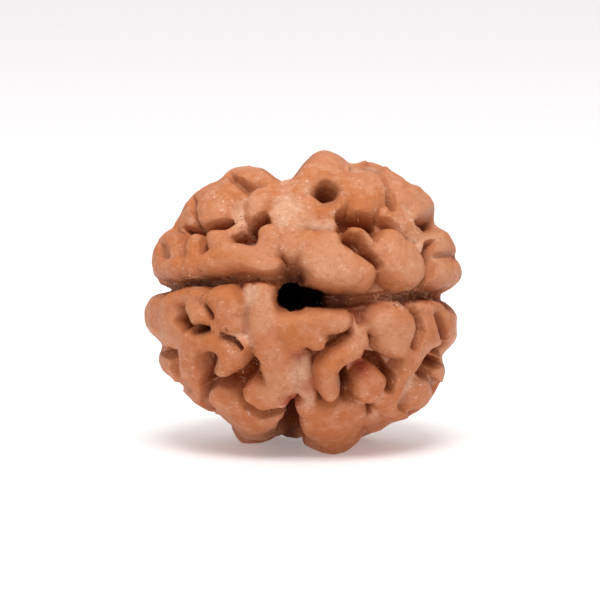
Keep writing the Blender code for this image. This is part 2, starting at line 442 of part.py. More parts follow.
def in_collection(obj, name):
    """Move an object into the collection of that name."""
    home = bpy.data.collections.get(name)
    if home is None:
        home = bpy.data.collections.new(name)
        bpy.context.scene.collection.children.link(home)
    for other in list(obj.users_collection):
        other.objects.unlink(obj)
    home.objects.link(obj)


def stone_material():
    """Dry, unpolished stone of a rudraksha: a warm tan brown."""
    material = bpy.data.materials.new("rudraksha_stone")
    material.use_nodes = True
    shader = material.node_tree.nodes["Principled BSDF"]
    shader.inputs["Base Color"].default_value = (0.53, 0.235, 0.125, 1.0)
    shader.inputs["Roughness"].default_value = 0.6
    shader.inputs["Metallic"].default_value = 0.0
    material.diffuse_color = (0.53, 0.235, 0.125, 1.0)
    return material


def make_cutter(obj, name):
    """Name a cutter and keep it out of the model."""
    obj.name = name
    obj.hide_render = True
    obj.display_type = "WIRE"
    in_collection(obj, "cutters")
    return obj


def cut_with(obj, cutter):
    """Subtract a cutter from an object."""
    boolean = obj.modifiers.new(cutter.name, "BOOLEAN")
    boolean.operation = "DIFFERENCE"
    boolean.solver = "EXACT"
    boolean.object = cutter


def build_bead():
    """The ridged stone, then its drilled hole and the flat spot that it rests on."""
    bpy.ops.mesh.primitive_ico_sphere_add(subdivisions=FINENESS, radius=1.0)
    bead = bpy.context.object
    bead.name = "bead"
    in_collection(bead, "two_mukhi_rudraksha")
    directions = np.empty(len(bead.data.vertices) * 3)
    bead.data.vertices.foreach_get("co", directions)
    directions = directions.reshape(-1, 3)
    directions /= np.linalg.norm(directions, axis=1)[:, None]
    places = surface(directions) * SCALE
    low = places.min(axis=0)
    high = places.max(axis=0)
    middle = (low + high) / 2
    rest = low[2] + REST_CUT
    places -= (middle[0], middle[1], rest)
    bead.data.vertices.foreach_set("co", places.ravel())
    bead.data.update()
    bead.data.shade_smooth()
    bead.data.materials.append(stone_material())

    soften = bead.modifiers.new("worn_edges", "SMOOTH")
    soften.factor = 0.5
    soften.iterations = 10
    fewer = bead.modifiers.new("fewer_faces", "DECIMATE")
    fewer.ratio = TRIANGLES / len(bead.data.polygons)

    hole_place = (HOLE_ACROSS * SCALE - middle[0], 0.0, HOLE_UP * SCALE - rest)
    bpy.ops.mesh.primitive_cylinder_add(vertices=HOLE_SIDES, radius=HOLE_DIAMETER / 2, depth=2 * BEAD_DEPTH,
                                        location=hole_place, rotation=(math.pi / 2, 0.0, 0.0))
    cut_with(bead, make_cutter(bpy.context.object, "hole_cutter"))

    bpy.ops.mesh.primitive_cube_add(size=2 * BEAD_WIDTH, location=(0.0, 0.0, -BEAD_WIDTH))
    cut_with(bead, make_cutter(bpy.context.object, "rest_cutter"))


def main():
    for obj in list(bpy.data.objects):
        bpy.data.objects.remove(obj)
    build_bead()


main()
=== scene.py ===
"""Looks of a two mukhi rudraksha: a ridged seed stone with a drilled hole, on a plain pale floor."""

import math

import bpy
import numpy as np
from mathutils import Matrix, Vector, noise


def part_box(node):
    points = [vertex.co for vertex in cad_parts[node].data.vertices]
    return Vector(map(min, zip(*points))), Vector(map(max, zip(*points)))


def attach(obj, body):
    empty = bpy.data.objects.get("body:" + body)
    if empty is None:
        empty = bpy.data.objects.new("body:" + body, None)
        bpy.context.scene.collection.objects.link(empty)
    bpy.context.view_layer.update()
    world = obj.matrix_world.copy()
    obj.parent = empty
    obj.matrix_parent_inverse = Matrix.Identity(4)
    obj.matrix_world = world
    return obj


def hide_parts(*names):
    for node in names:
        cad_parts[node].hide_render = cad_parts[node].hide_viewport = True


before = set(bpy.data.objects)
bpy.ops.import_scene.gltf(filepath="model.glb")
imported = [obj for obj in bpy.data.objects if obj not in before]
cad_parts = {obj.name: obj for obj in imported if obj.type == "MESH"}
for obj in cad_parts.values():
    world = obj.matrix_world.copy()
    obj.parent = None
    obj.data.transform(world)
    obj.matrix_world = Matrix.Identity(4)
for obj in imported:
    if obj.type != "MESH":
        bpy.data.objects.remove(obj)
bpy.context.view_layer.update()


# The stone: the dried, hard kernel of a blue marble fruit, boiled and brushed free of its pulp. It is all
# ridges and pits, with a sunken line on each side where its two seed chambers meet, and it is drilled for a
# cord. It is a sphere sunk by a formula between ridges laid out as seen from the front, in millimetres.
MM = 0.001
HALF = np.array([19.0, 16.8, 17.9]) / 2
VIEW_TILT = math.radians(7.0)
HOLE_ACROSS = -0.7
HOLE_UP = 1.07
HOLE_RADIUS = 0.75

# How deep the valleys lie below the smooth outer form, how full the ridges are and how they blend
FLOOR_DEPTH = 1.15
SHOULDER = 2.2
FULLNESS = 1.12
BLEND = 0.4

# How a run reaches over the face and the rim of the stone, and how far it wanders from its drawn course
DEPTH_SQUASH = 0.45
RIM_REACH = 0.055
FACE_REACH = 0.045
WANDER = 0.16
WANDER_LENGTH = 1.5
WANDER_SEED = 1

# The drawn outline shapes the stone within a band round its rim, in degrees, and the rim itself is calmer
OUTLINE_BAND = 24.0
RIM_BAND = 8.0
RIM_CALM = 0.85
ROUNDING = np.radians([-1.6, -0.8, 0.0, 0.8, 1.6])

# Walls of the pits and the lines, as shares of their half width: where the bottom ends and where the brim is
PIT_WALL = (0.55, 1.2)
LINE_WALL = (0.7, 1.2)

# Folds that part the lobes of the far side, above the foot: where they fade in, going back and going up,
# their length, then depth and reach of a soft and of a sharp fold
FAR_SIDE = (-1.2, 1.2)
ABOVE_FOOT = (-6.6, -5.2)
FOLD_LENGTH = 2.2
SOFT_FOLD = (0.3, 0.4)
SHARP_FOLD = (0.5, 0.18)

# Lumps and pores over the whole stone: height, length, seed
PORES = [(0.07, 2.3, 0), (0.045, 0.65, 1), (0.022, 0.28, 2)]

# The mesh: splits of the sphere, faces kept at the end, rounds of smoothing all over, and then rounds on the
# far side alone, down to the height of the foot
FINENESS = 9
TRIANGLES = 190000
SMOOTHING = 4
WEAR = 60
FOOT = 2.8

# Outline of the bead in the front view, clockwise from the notch at the top: across, up
OUTLINE = [
    (-1.0, 7.0), (-0.5, 7.5), (0.0, 8.25), (0.7, 8.85), (1.4, 8.95), (2.3, 8.6), (2.6, 8.25), (3.1, 8.15),
    (3.9, 8.35), (4.8, 8.05), (5.35, 7.55), (5.9, 7.35), (6.3, 6.95), (7.0, 6.8), (7.7, 6.05), (7.87, 5.6),
    (7.75, 4.75), (8.0, 4.4), (8.7, 4.0), (9.05, 3.1), (9.1, 2.5), (9.45, 1.8), (9.35, 1.1), (8.6, 0.6),
    (8.0, 0.2), (8.5, -0.15), (9.1, -0.7), (9.15, -2.2), (8.8, -2.8), (8.17, -3.3), (8.48, -4.4),
    (8.1, -5.3), (7.4, -6.2), (6.4, -6.9), (5.1, -7.35), (4.3, -7.9), (3.5, -8.0), (2.5, -8.75),
    (1.6, -8.95), (0.3, -8.5), (-0.6, -8.0), (-1.6, -8.0), (-2.5, -8.35), (-3.5, -8.25),
    (-4.2, -7.5), (-4.9, -6.95), (-5.8, -6.6), (-6.5, -6.1), (-7.45, -5.1), (-8.4, -4.2), (-8.7, -3.4),
    (-8.38, -2.7), (-9.0, -2.1), (-9.45, -1.3), (-9.4, -0.4), (-9.0, 0.4), (-8.5, 0.55), (-8.7, 1.0),
    (-9.0, 1.5), (-8.92, 3.0), (-8.6, 3.6), (-8.2, 4.02), (-7.75, 4.25), (-7.4, 5.05), (-6.9, 6.0),
    (-6.1, 6.65),
    (-5.1, 7.05), (-4.85, 7.1), (-4.5, 7.6), (-4.0, 7.85), (-3.2, 8.0), (-2.4, 7.9), (-1.5, 7.15),
]

# Ridges and knobs. Each is a run of stations: across, up, half width, height above the smooth outer form
UPPER_LEFT = [
    [(-4.3, 7.3, 0.75, 0), (-3.6, 7.5, 0.8, 0), (-2.8, 7.5, 0.8, 0), (-2.0, 7.1, 0.7, -0.1)],
    [(-4.7, 6.6, 0.8, 0.1), (-5.2, 5.9, 0.98, 0.15), (-5.4, 5.25, 0.98, 0.2), (-5.75, 4.8, 0.62, 0.15)],
    [(-4.6, 6.7, 0.55, 0), (-3.9, 6.3, 0.65, -0.1), (-3.85, 5.5, 0.7, -0.35), (-3.9, 4.6, 0.65, -0.5)],
    [(-5.5, 6.7, 0.6, -0.1), (-6.1, 6.3, 0.7, -0.05), (-6.7, 5.8, 0.75, -0.05), (-7.05, 5.3, 0.62, -0.1),
     (-7.45, 4.6, 0.5, -0.3)],
    [(-7.95, 3.75, 0.6, 0), (-8.35, 3.2, 0.65, 0), (-8.5, 2.0, 0.6, 0)],
    [(-7.5, 3.6, 0.5, -0.05), (-7.6, 2.0, 0.5, -0.1)],
    [(-6.4, 3.45, 0.6, 0), (-6.6, 2.0, 0.65, 0)],
    [(-8.4, 1.9, 0.6, 0), (-7.0, 2.0, 0.65, -0.05), (-5.6, 2.25, 0.75, 0), (-4.0, 2.35, 0.8, 0.05)],
    [(-5.1, 3.6, 0.7, 0), (-4.9, 3.0, 0.8, 0), (-4.2, 2.6, 0.85, 0.05), (-3.2, 2.45, 0.85, 0.1),
     (-2.3, 2.4, 0.85, 0.15), (-2.0, 3.2, 0.85, 0.15), (-2.0, 3.85, 0.8, 0.1)],
    [(-3.2, 2.1, 0.5, 0.1), (-2.3, 1.85, 0.55, 0.1), (-1.6, 2.0, 0.5, 0)],
    [(-1.7, 6.4, 0.55, -0.2), (-2.4, 6.15, 0.8, 0.05), (-2.75, 5.55, 0.8, 0.1), (-3.0, 5.05, 0.55, 0)],
    [(-3.7, 6.95, 0.5, -0.3), (-3.0, 6.85, 0.5, -0.3)],
    [(-5.1, 3.6, 0.7, 0), (-4.4, 3.9, 0.5, -0.15), (-3.9, 4.25, 0.5, -0.4)],
]
VALLEY = [
    [(-1.0, 7.0, 1.0, -0.3), (-0.9, 5.2, 1.15, -0.4), (-0.8, 4.0, 1.0, -0.25), (-0.6, 3.0, 0.8, -0.15)],
    [(0.3, 5.0, 1.0, -0.35), (1.2, 4.8, 1.0, -0.3)],
    [(-1.9, 5.4, 0.6, -0.5), (-1.5, 5.1, 0.6, -0.4)],
]
UPPER_RIGHT = [
    [(-0.3, 6.6, 0.8, -0.2), (0.3, 7.6, 0.85, 0), (1.2, 8.0, 0.95, 0), (2.0, 7.6, 0.85, 0),
     (2.5, 6.9, 0.6, 0)],
    [(0.0, 6.1, 0.6, -0.3), (1.0, 5.3, 0.6, -0.2), (1.9, 5.5, 0.55, -0.1), (2.5, 6.2, 0.5, 0)],
    [(3.2, 6.5, 1.15, 0.15), (3.9, 6.25, 1.2, 0.15), (3.7, 5.95, 1.1, 0.1)],
    [(2.8, 7.8, 0.5, -0.1), (3.6, 8.0, 0.5, 0), (4.5, 7.75, 0.5, 0), (5.2, 7.3, 0.5, 0), (5.9, 6.9, 0.5, 0)],
    [(4.2, 7.4, 0.45, -0.15), (5.0, 7.0, 0.45, -0.15), (5.6, 6.5, 0.45, -0.1)],
    [(5.8, 6.2, 0.85, 0), (6.5, 6.1, 0.9, 0), (7.0, 5.6, 0.9, 0)],
    [(5.0, 5.3, 0.45, -0.2), (5.7, 4.95, 0.5, -0.15), (6.3, 4.5, 0.5, -0.15), (6.9, 3.8, 0.45, -0.2)],
    [(7.9, 3.6, 0.8, 0), (8.4, 3.1, 0.75, 0)],
    [(7.9, 1.7, 0.85, -0.05), (8.8, 1.6, 0.85, 0)],
    [(7.3, 3.3, 0.5, -0.3), (8.2, 2.65, 0.6, -0.15)],
    [(5.2, 3.1, 1.15, 0.15), (5.65, 2.4, 1.35, 0.25), (6.0, 1.95, 1.3, 0.2)],
    [(2.8, 4.05, 0.3, -0.1), (3.2, 4.1, 0.3, -0.1), (3.55, 3.8, 0.3, -0.1), (3.85, 3.3, 0.3, -0.1),
     (4.1, 2.7, 0.3, -0.2)],
    [(0.3, 3.2, 1.0, 0.2), (1.3, 2.65, 1.15, 0.3), (2.4, 1.85, 1.1, 0.35), (3.4, 1.4, 0.92, 0.3)],
    [(1.2, 3.4, 0.8, 0.15), (1.7, 3.5, 0.6, 0.1)],
    [(0.6, 2.2, 0.9, 0.2), (1.6, 1.6, 1.0, 0.3), (2.9, 1.4, 0.95, 0.3)],
]
LOWER_LEFT = [
    [(-5.1, 0.15, 0.8, 0.1), (-4.6, -0.1, 1.0, 0.15), (-4.4, -0.8, 0.9, 0.1), (-4.2, -1.5, 0.75, 0)],
    [(-7.8, 0.2, 0.6, 0), (-7.0, 0.3, 0.6, -0.05), (-6.2, 0.3, 0.6, -0.05)],
    [(-8.9, -0.1, 0.6, 0), (-9.0, -0.9, 0.6, 0), (-8.8, -1.6, 0.6, 0)],
    [(-8.0, -0.2, 0.6, 0), (-8.0, -1.0, 0.6, 0), (-7.8, -1.7, 0.6, 0)],
    [(-6.5, -0.5, 0.6, 0), (-6.2, -1.0, 0.62, 0), (-5.8, -1.1, 0.5, 0)],
    [(-8.0, -2.2, 0.65, 0), (-7.0, -2.3, 0.75, 0), (-6.2, -2.5, 0.7, 0), (-5.4, -2.5, 0.65, -0.1),
     (-4.8, -2.8, 0.6, 0)],
    [(-8.2, -3.2, 0.6, -0.2), (-8.1, -3.9, 0.65, -0.15), (-7.6, -4.7, 0.65, -0.15), (-7.0, -5.4, 0.6, -0.2)],
    [(-6.9, -2.9, 0.7, 0), (-6.8, -4.2, 0.8, 0.05), (-6.4, -4.9, 0.7, 0), (-6.2, -5.4, 0.6, -0.1)],
    [(-6.8, -5.6, 0.5, -0.2), (-6.2, -6.0, 0.5, -0.2), (-5.7, -6.3, 0.5, -0.2)],
    [(-4.1, -2.9, 1.0, 0.1), (-4.3, -3.4, 0.92, 0.15), (-4.65, -4.0, 0.68, 0.15)],
    [(-5.2, -5.6, 0.65, 0), (-4.6, -6.2, 0.85, 0), (-3.7, -6.9, 0.95, 0.05), (-2.8, -7.3, 0.95, 0),
     (-2.0, -7.3, 0.7, -0.1), (-1.45, -6.9, 0.55, -0.15)],
    [(-3.0, -5.5, 0.75, 0.1), (-2.4, -5.75, 0.9, 0.15), (-1.8, -5.7, 0.85, 0.1), (-1.3, -5.9, 0.5, 0)],
    [(-5.2, -1.2, 0.5, -0.2), (-5.0, -2.1, 0.5, -0.25)],
    [(-4.7, -2.2, 0.5, -0.45), (-3.7, -2.5, 0.5, -0.45)],
    [(-5.7, -0.5, 0.5, -0.35), (-5.5, -0.9, 0.5, -0.35)],
]
COLUMN = [
    [(-2.3, 0.5, 0.75, -0.25), (-2.3, -0.8, 0.95, 0), (-2.2, -1.8, 1.05, 0.05), (-1.8, -2.8, 1.25, 0),
     (-1.5, -3.8, 1.2, -0.15), (-1.4, -4.8, 1.1, -0.2)],
    [(-3.2, 0.5, 0.6, -0.55), (-3.2, -0.6, 0.6, -0.5), (-3.2, -2.2, 0.6, -0.4)],
    [(-1.7, -1.3, 0.8, 0.05), (-0.8, -1.6, 0.85, 0.1), (-0.4, -2.3, 0.8, 0)],
]
LOWER_RIGHT = [
    [(-1.0, -1.45, 0.85, 0.1), (0.3, -1.3, 0.9, 0.2), (1.4, -1.2, 0.88, 0.2), (2.2, -1.2, 0.78, 0.15)],
    [(0.5, -2.1, 0.8, 0.1), (0.8, -2.35, 0.72, 0.1)],
    [(2.85, -2.85, 0.72, 0.1), (2.0, -3.35, 0.7, 0.15), (1.4, -4.0, 0.78, 0.2), (1.4, -4.8, 0.8, 0.2),
     (1.6, -5.3, 0.65, 0.15)],
    [(4.75, -1.25, 1.05, 0.15), (5.5, -1.45, 1.22, 0.25), (5.35, -2.3, 1.1, 0.2)],
    [(3.85, -5.2, 1.0, 0.15), (4.0, -4.95, 0.95, 0.1)],
    [(-0.1, -6.6, 0.5, -0.15), (0.3, -6.7, 0.7, -0.1), (1.3, -7.1, 1.0, 0.1), (2.3, -7.1, 1.05, 0.1),
     (3.2, -6.8, 0.8, -0.05)],
    [(0.5, -7.6, 0.8, 0), (1.3, -7.8, 1.1, 0.1), (2.2, -7.8, 1.1, 0.1), (2.7, -7.5, 0.8, 0)],
    [(3.3, -1.1, 0.5, -0.45), (3.45, -2.4, 0.55, -0.2)],
    [(-0.2, -3.6, 0.7, -0.55), (0.0, -5.0, 0.7, -0.55), (0.3, -5.8, 0.6, -0.5)],
    [(-0.9, -5.0, 0.7, -0.35), (-0.9, -5.8, 0.5, -0.6)],
    [(6.9, -0.3, 0.45, -0.1), (7.7, -0.45, 0.45, -0.1), (8.2, -0.4, 0.45, -0.1)],
    [(7.3, -0.8, 0.55, -0.1), (7.45, -1.6, 0.65, 0), (7.4, -2.3, 0.85, 0.05), (6.7, -3.2, 0.6, -0.05),
     (6.2, -4.0, 0.6, -0.15), (5.8, -4.9, 0.6, -0.2), (5.4, -5.7, 0.6, -0.2), (4.8, -6.4, 0.5, -0.25)],
    [(8.7, -0.9, 0.5, 0), (8.8, -1.6, 0.5, 0), (8.8, -2.2, 0.5, 0)],
    [(7.95, -3.6, 0.5, 0), (8.1, -4.3, 0.6, 0), (7.8, -5.1, 0.6, 0), (7.2, -5.8, 0.6, 0),
     (6.4, -6.4, 0.6, 0), (5.5, -6.8, 0.6, 0)],
    [(6.8, -4.9, 0.55, -0.05), (6.5, -5.4, 0.65, -0.05), (6.1, -5.9, 0.6, -0.15)],
    [(5.6, -6.2, 0.5, -0.1), (4.9, -6.8, 0.5, -0.2)],
    [(4.3, -7.1, 0.5, -0.3), (3.9, -7.5, 0.5, -0.3)],
]
RIDGES = UPPER_LEFT + VALLEY + UPPER_RIGHT + LOWER_LEFT + COLUMN + LOWER_RIGHT

# Pits and cracks: across, up, half width, depth below the smooth outer form
PITS = [
    [(1.3, 6.5, 0.55, 2.2), (1.55, 6.4, 0.45, 3.2)],
    [(-4.4, 4.75, 0.22, 1.5), (-4.9, 4.45, 0.18, 1.6), (-5.7, 4.1, 0.16, 1.7)],
    [(-7.1, 4.3, 0.2, 1.2), (-6.6, 4.3, 0.25, 1.5), (-6.1, 4.15, 0.2, 1.6)],
    [(-2.2, 5.0, 0.2, 1.6), (-2.6, 4.7, 0.2, 1.8), (-3.1, 4.25, 0.22, 1.9)],
    [(-4.0, 3.6, 0.18, 1.4), (-3.55, 3.7, 0.32, 1.6), (-3.2, 3.7, 0.42, 1.7)],
    [(2.2, 4.9, 0.38, 1.4), (3.2, 4.7, 0.44, 1.7), (4.15, 4.45, 0.48, 2.3)],
    [(2.7, 3.6, 0.28, 1.5), (3.1, 2.95, 0.32, 1.5), (3.75, 2.5, 0.26, 1.6), (4.35, 1.9, 0.2, 1.7)],
    [(7.2, 4.45, 0.22, 1.8), (6.75, 4.55, 0.2, 1.4)],
    [(5.15, 5.7, 0.2, 1.3)],
    [(-7.15, -0.75, 0.2, 1.6), (-7.3, -1.15, 0.24, 1.8), (-7.05, -1.6, 0.2, 1.6)],
    [(-6.3, -1.75, 0.26, 1.7), (-5.95, -1.7, 0.26, 1.7)],
    [(-5.85, -0.35, 0.12, 0.8), (-5.3, -0.95, 0.14, 0.9)],
    [(-4.7, -2.0, 0.16, 0.7), (-4.1, -2.25, 0.2, 0.85), (-3.6, -2.7, 0.16, 0.75)],
    [(-5.5, -3.5, 0.32, 2.0), (-5.6, -4.1, 0.3, 2.0), (-5.8, -4.9, 0.22, 1.7)],
    [(-5.2, -4.75, 0.26, 1.7), (-4.3, -5.05, 0.3, 1.6), (-3.7, -4.85, 0.34, 1.9)],
    [(-3.4, -4.5, 0.4, 2.1), (-2.85, -3.7, 0.34, 1.7)],
    [(2.5, -4.4, 0.3, 2.3), (2.55, -5.0, 0.34, 2.6), (2.4, -5.8, 0.26, 2.3)],
    [(4.0, -3.5, 0.3, 1.8), (4.7, -3.8, 0.4, 2.0), (5.15, -4.5, 0.28, 1.8), (5.1, -5.3, 0.22, 1.6)],
    [(3.35, -0.6, 0.3, 1.2), (3.45, -1.3, 0.3, 0.9)],
    [(7.7, -3.5, 0.24, 1.7), (7.25, -3.7, 0.3, 1.9), (6.95, -4.15, 0.28, 1.8)],
    [(8.1, -1.1, 0.16, 1.5), (8.2, -2.2, 0.2, 1.5)],
    [(4.05, -6.65, 0.13, 1.1), (4.25, -6.4, 0.11, 1.0)],
]

# Fine creases where two lobes meet: across, up, half width, depth
CREASES = [
    [(-5.3, -4.9, 0.25, 1.2), (-5.8, -5.3, 0.25, 1.1), (-5.85, -6.0, 0.22, 0.8), (-5.4, -6.6, 0.2, 0.5)],
    [(-4.1, 7.05, 0.3, 0.4), (-3.5, 6.75, 0.36, 0.7), (-2.9, 6.65, 0.3, 0.6), (-2.2, 6.75, 0.22, 0.3)],
    [(7.35, 3.3, 0.22, 1.0), (7.45, 2.4, 0.26, 1.1), (7.3, 1.4, 0.26, 1.1), (6.9, 0.8, 0.22, 1.0)],
    [(7.4, 2.6, 0.22, 0.5), (8.2, 2.6, 0.22, 0.35), (9.0, 2.45, 0.22, 0.3)],
    [(2.9, 7.65, 0.22, 0.4), (3.6, 7.6, 0.22, 0.5), (4.2, 7.25, 0.22, 0.6), (4.7, 6.6, 0.24, 0.8),
     (5.0, 5.9, 0.26, 1.0), (5.2, 5.4, 0.26, 1.0)],
    [(-6.25, 5.7, 0.2, 0.5), (-6.42, 5.2, 0.26, 1.1), (-6.3, 4.5, 0.26, 1.4)],
    [(-8.0, 3.2, 0.24, 0.3), (-8.0, 2.6, 0.24, 0.4)],
    [(-7.2, 3.8, 0.22, 0.8), (-7.1, 2.6, 0.2, 0.6)],
    [(-5.85, 3.9, 0.22, 1.0), (-5.85, 2.8, 0.2, 0.8)],
    [(-3.8, -5.3, 0.26, 1.3), (-3.3, -6.2, 0.26, 1.2), (-2.4, -6.65, 0.26, 1.2), (-1.5, -6.5, 0.26, 1.4)],
    [(-8.1, -2.95, 0.22, 0.9), (-7.5, -3.4, 0.24, 1.1), (-7.35, -4.2, 0.24, 1.0), (-7.0, -4.8, 0.24, 0.7),
     (-6.7, -5.2, 0.22, 0.3)],
    [(6.75, -1.1, 0.26, 0.9), (6.85, -1.8, 0.31, 1.1), (6.5, -2.7, 0.22, 0.9)],
    [(1.4, -2.6, 0.26, 1.2), (2.2, -2.15, 0.26, 1.2)],
    [(6.5, -4.4, 0.24, 0.6), (6.0, -5.2, 0.24, 0.45), (5.6, -6.1, 0.24, 0.5)],
    [(7.4, -4.6, 0.26, 0.7), (7.2, -5.3, 0.26, 0.6), (6.6, -5.95, 0.24, 0.5), (5.9, -6.35, 0.22, 0.4)],
]

# The deep cleft between the two lowest lobes, on the front only
CLEFT = [(-0.95, -6.3, 0.16, 1.8), (-0.9, -6.9, 0.32, 2.6), (-0.9, -7.5, 0.6, 3.0), (-0.85, -8.0, 0.85, 2.4)]

# The two mukhi lines on the front, and where they turn round the sides
LEFT_LINE = [(-1.3, 1.25, 0.5, 1.3), (-2.2, 1.3, 0.28, 0.8), (-3.2, 1.35, 0.32, 1.1), (-4.0, 1.38, 0.32, 1.3),
             (-5.0, 1.33, 0.27, 1.5), (-6.0, 1.24, 0.25, 1.6), (-7.0, 1.18, 0.25, 1.6),
             (-8.0, 0.95, 0.26, 1.6)]
RIGHT_LINE = [(0.3, 0.3, 0.72, 2.4), (1.2, 0.05, 0.55, 2.2), (2.2, 0.0, 0.45, 2.0), (3.0, 0.0, 0.4, 1.9),
              (4.0, 0.12, 0.34, 1.7), (5.0, 0.18, 0.32, 1.5), (6.0, 0.15, 0.32, 1.5), (7.0, 0.33, 0.3, 1.6),
              (8.0, 0.25, 0.3, 1.6)]
HOLE_MOUTH = [(-1.05, 0.05, 0.6, 2.3), (-0.4, 0.1, 0.75, 2.4), (-0.4, 0.55, 0.75, 2.3),
              (-1.0, 0.55, 0.62, 2.2), (-0.6, 1.25, 0.72, 1.8)]
LEFT_TURN = (-9.45, 0.0, 0.6, 0.36, 0.8)
RIGHT_TURN = (9.45, 0.0, 0.25, 0.36, 0.8)

# Lobes on the crown and the underside, seen from above: across, away from the eye, half width, height
CROWN = [
    [(-6.0, 0.8, 0.8, 0), (-5.0, 1.8, 0.9, 0), (-3.8, 2.2, 0.9, 0)],
    [(-3.2, 0.8, 0.8, 0), (-2.2, 1.8, 0.9, 0), (-2.0, 3.0, 0.8, 0)],
    [(-0.4, 1.6, 0.7, -0.3), (-0.4, 3.2, 0.8, -0.3)],
    [(1.2, 1.0, 0.9, 0), (1.4, 2.2, 1.0, 0), (2.6, 2.9, 0.9, 0)],
    [(3.4, 1.0, 0.8, 0), (4.4, 1.6, 0.9, 0), (4.6, 2.8, 0.8, 0)],
    [(6.0, 0.8, 0.8, 0), (6.4, 1.9, 0.8, 0)],
]
UNDERSIDE = [
    [(-4.7, -0.7, 0.8, 0), (-3.6, -0.9, 0.8, 0), (-2.5, -0.7, 0.8, 0)],
    [(-5.4, 1.2, 0.9, 0), (-5.1, 2.4, 0.9, 0)],
    [(-3.7, 0.6, 1.0, 0.6), (-3.3, 1.5, 1.45, 0.8), (-2.9, 2.5, 1.6, 0.95), (-2.0, 3.3, 1.3, 0.8)],
    [(-1.2, 1.4, 0.8, 0), (-0.4, 2.2, 0.8, 0)],
    [(-0.8, 0.5, 0.9, 0.1), (-0.7, 2.0, 0.9, 0.3)],
    [(0.9, 0.2, 0.8, 0.05), (1.9, -0.4, 1.1, 0.15), (3.2, 0.5, 0.85, 0)],
    [(0.9, 2.8, 1.1, 0.5), (2.0, 3.0, 1.5, 0.8), (3.2, 2.8, 1.5, 0.95), (4.2, 2.0, 1.0, 0.5)],
    [(0.5, -2.6, 1.0, 0.3), (1.6, -2.9, 1.35, 0.6), (2.8, -2.4, 1.2, 0.4)],
    [(4.7, -0.4, 0.8, 0), (5.1, 1.0, 0.8, 0)],
    [(-0.4, 4.1, 0.8, 0), (0.8, 4.7, 0.8, 0)],
    [(-6.2, 0.2, 0.7, 0), (-6.4, 1.4, 0.7, 0)],
    [(6.6, 0.4, 0.7, 0), (6.4, 1.8, 0.7, 0)],
]

# Red blushes of dried pulp in and beside the pits: across, up, radius, strength
BLUSHES = [
    (4.7, 0.1, 0.35, 0.8), (7.6, 0.25, 0.4, 0.7), (3.3, -0.7, 0.45, 0.8), (3.6, -4.0, 0.5, 1.0),
    (-0.2, -3.4, 0.5, 0.6), (0.3, -5.4, 0.55, 0.6), (-4.2, -5.0, 0.45, 0.8), (-0.9, -6.2, 0.5, 0.9),
    (2.5, -4.6, 0.35, 0.5), (-3.3, -4.6, 0.4, 0.5),
]

# Dark brown pulp left round the hole and in the deepest folds, with painted shade in the darkest pits and in
# the cleft between the lowest lobes: across, up, radius, strength
STAINS_AND_SHADE = [
    (-0.9, 1.45, 0.6, 1.0), (-0.3, 1.5, 0.5, 1.0), (-1.5, 1.3, 0.35, 0.6), (1.5, 6.3, 0.6, 0.8),
    (4.0, 4.4, 0.5, 0.6), (-5.5, -4.0, 0.5, 0.5), (-6.1, -1.7, 0.35, 0.7), (2.5, -4.9, 0.4, 0.7),
    (7.2, 4.4, 0.3, 0.6), (-3.2, 4.2, 0.3, 0.6), (2.6, 4.9, 0.4, 0.4), (-0.9, -7.1, 0.35, 0.7),
    (-0.9, -7.7, 0.5, 0.9), (-0.9, -8.3, 0.6, 0.9), (1.6, 0.15, 0.6, 0.6), (2.7, 0.15, 0.6, 0.6),
    (-6.0, 1.35, 0.5, 0.3),
]

# Faded, fuzzy patches of the shell in the valleys: across, up, radius, strength
FADES = [
    (-0.9, 6.3, 0.9, 0.35), (-0.8, 5.0, 1.2, 0.2), (0.8, 5.2, 1.0, 0.3), (-0.2, 6.8, 0.8, 0.35),
    (2.3, 7.9, 0.6, 0.4), (4.9, 6.6, 0.35, 0.4), (6.2, 4.7, 0.5, 0.4), (7.3, 3.2, 0.5, 0.3),
    (-2.8, 0.3, 0.6, 0.5), (8.2, 2.2, 0.6, 0.4),
    (6.5, -5.1, 0.6, 0.4), (-5.0, 6.0, 0.5, 0.4), (-8.0, 1.6, 0.7, 0.4), (-4.0, -2.4, 0.5, 0.4),
]

# Pale flakes of dry pulp in the lines and the pits: across, up, radius, strength
FLAKES = [
    (-6.5, 1.1, 0.3, 0.9), (-6.0, 1.05, 0.25, 0.7), (5.0, 0.25, 0.4, 0.6), (5.9, -0.05, 0.5, 0.8),
    (6.9, 0.15, 0.3, 0.6), (-3.5, 3.7, 0.45, 0.7), (-5.35, -3.5, 0.25, 0.7), (-4.3, -2.2, 0.35, 0.6),
    (-6.1, -1.7, 0.25, 0.5), (-1.3, -6.3, 0.25, 0.6), (2.4, -4.9, 0.3, 0.5), (0.0, -3.3, 0.3, 0.5),
]

# How far the back strays from the pattern of the front, and the creases round the rim, with their latitudes
BACK_SEED = 12
BACK_SHIFT = 0.18
SIDE_SEED = 5
SIDE_CREASES = 64
SIDE_LATITUDES = (8.0, 46.0)


def to_view(points):
    """Bead axes to the axes of the front view: across, away from the eye, up."""
    cos, sin = math.cos(VIEW_TILT), math.sin(VIEW_TILT)
    x, y, z = points.T
    return np.column_stack([x, y * cos - z * sin, y * sin + z * cos])


def from_view(points):
    """Front view axes back to the bead's own."""
    cos, sin = math.cos(VIEW_TILT), math.sin(VIEW_TILT)
    x, y, z = points.T
    return np.column_stack([x, y * cos + z * sin, -y * sin + z * cos])


def onto_form(across, up):
    """The point of the smooth outer form that lies under a point of the front view."""
    start = from_view(np.array([[across, 0.0, up]]))[0] / HALF
    ray = from_view(np.array([[0.0, -1.0, 0.0]]))[0] / HALF
    a, b, c = ray @ ray, start @ ray, start @ start - 1.0
    reach = (-b + math.sqrt(max(b * b - a * c, 0.0))) / a
    point = start + reach * ray
    return to_view((point / np.linalg.norm(point) * HALF)[None])[0]


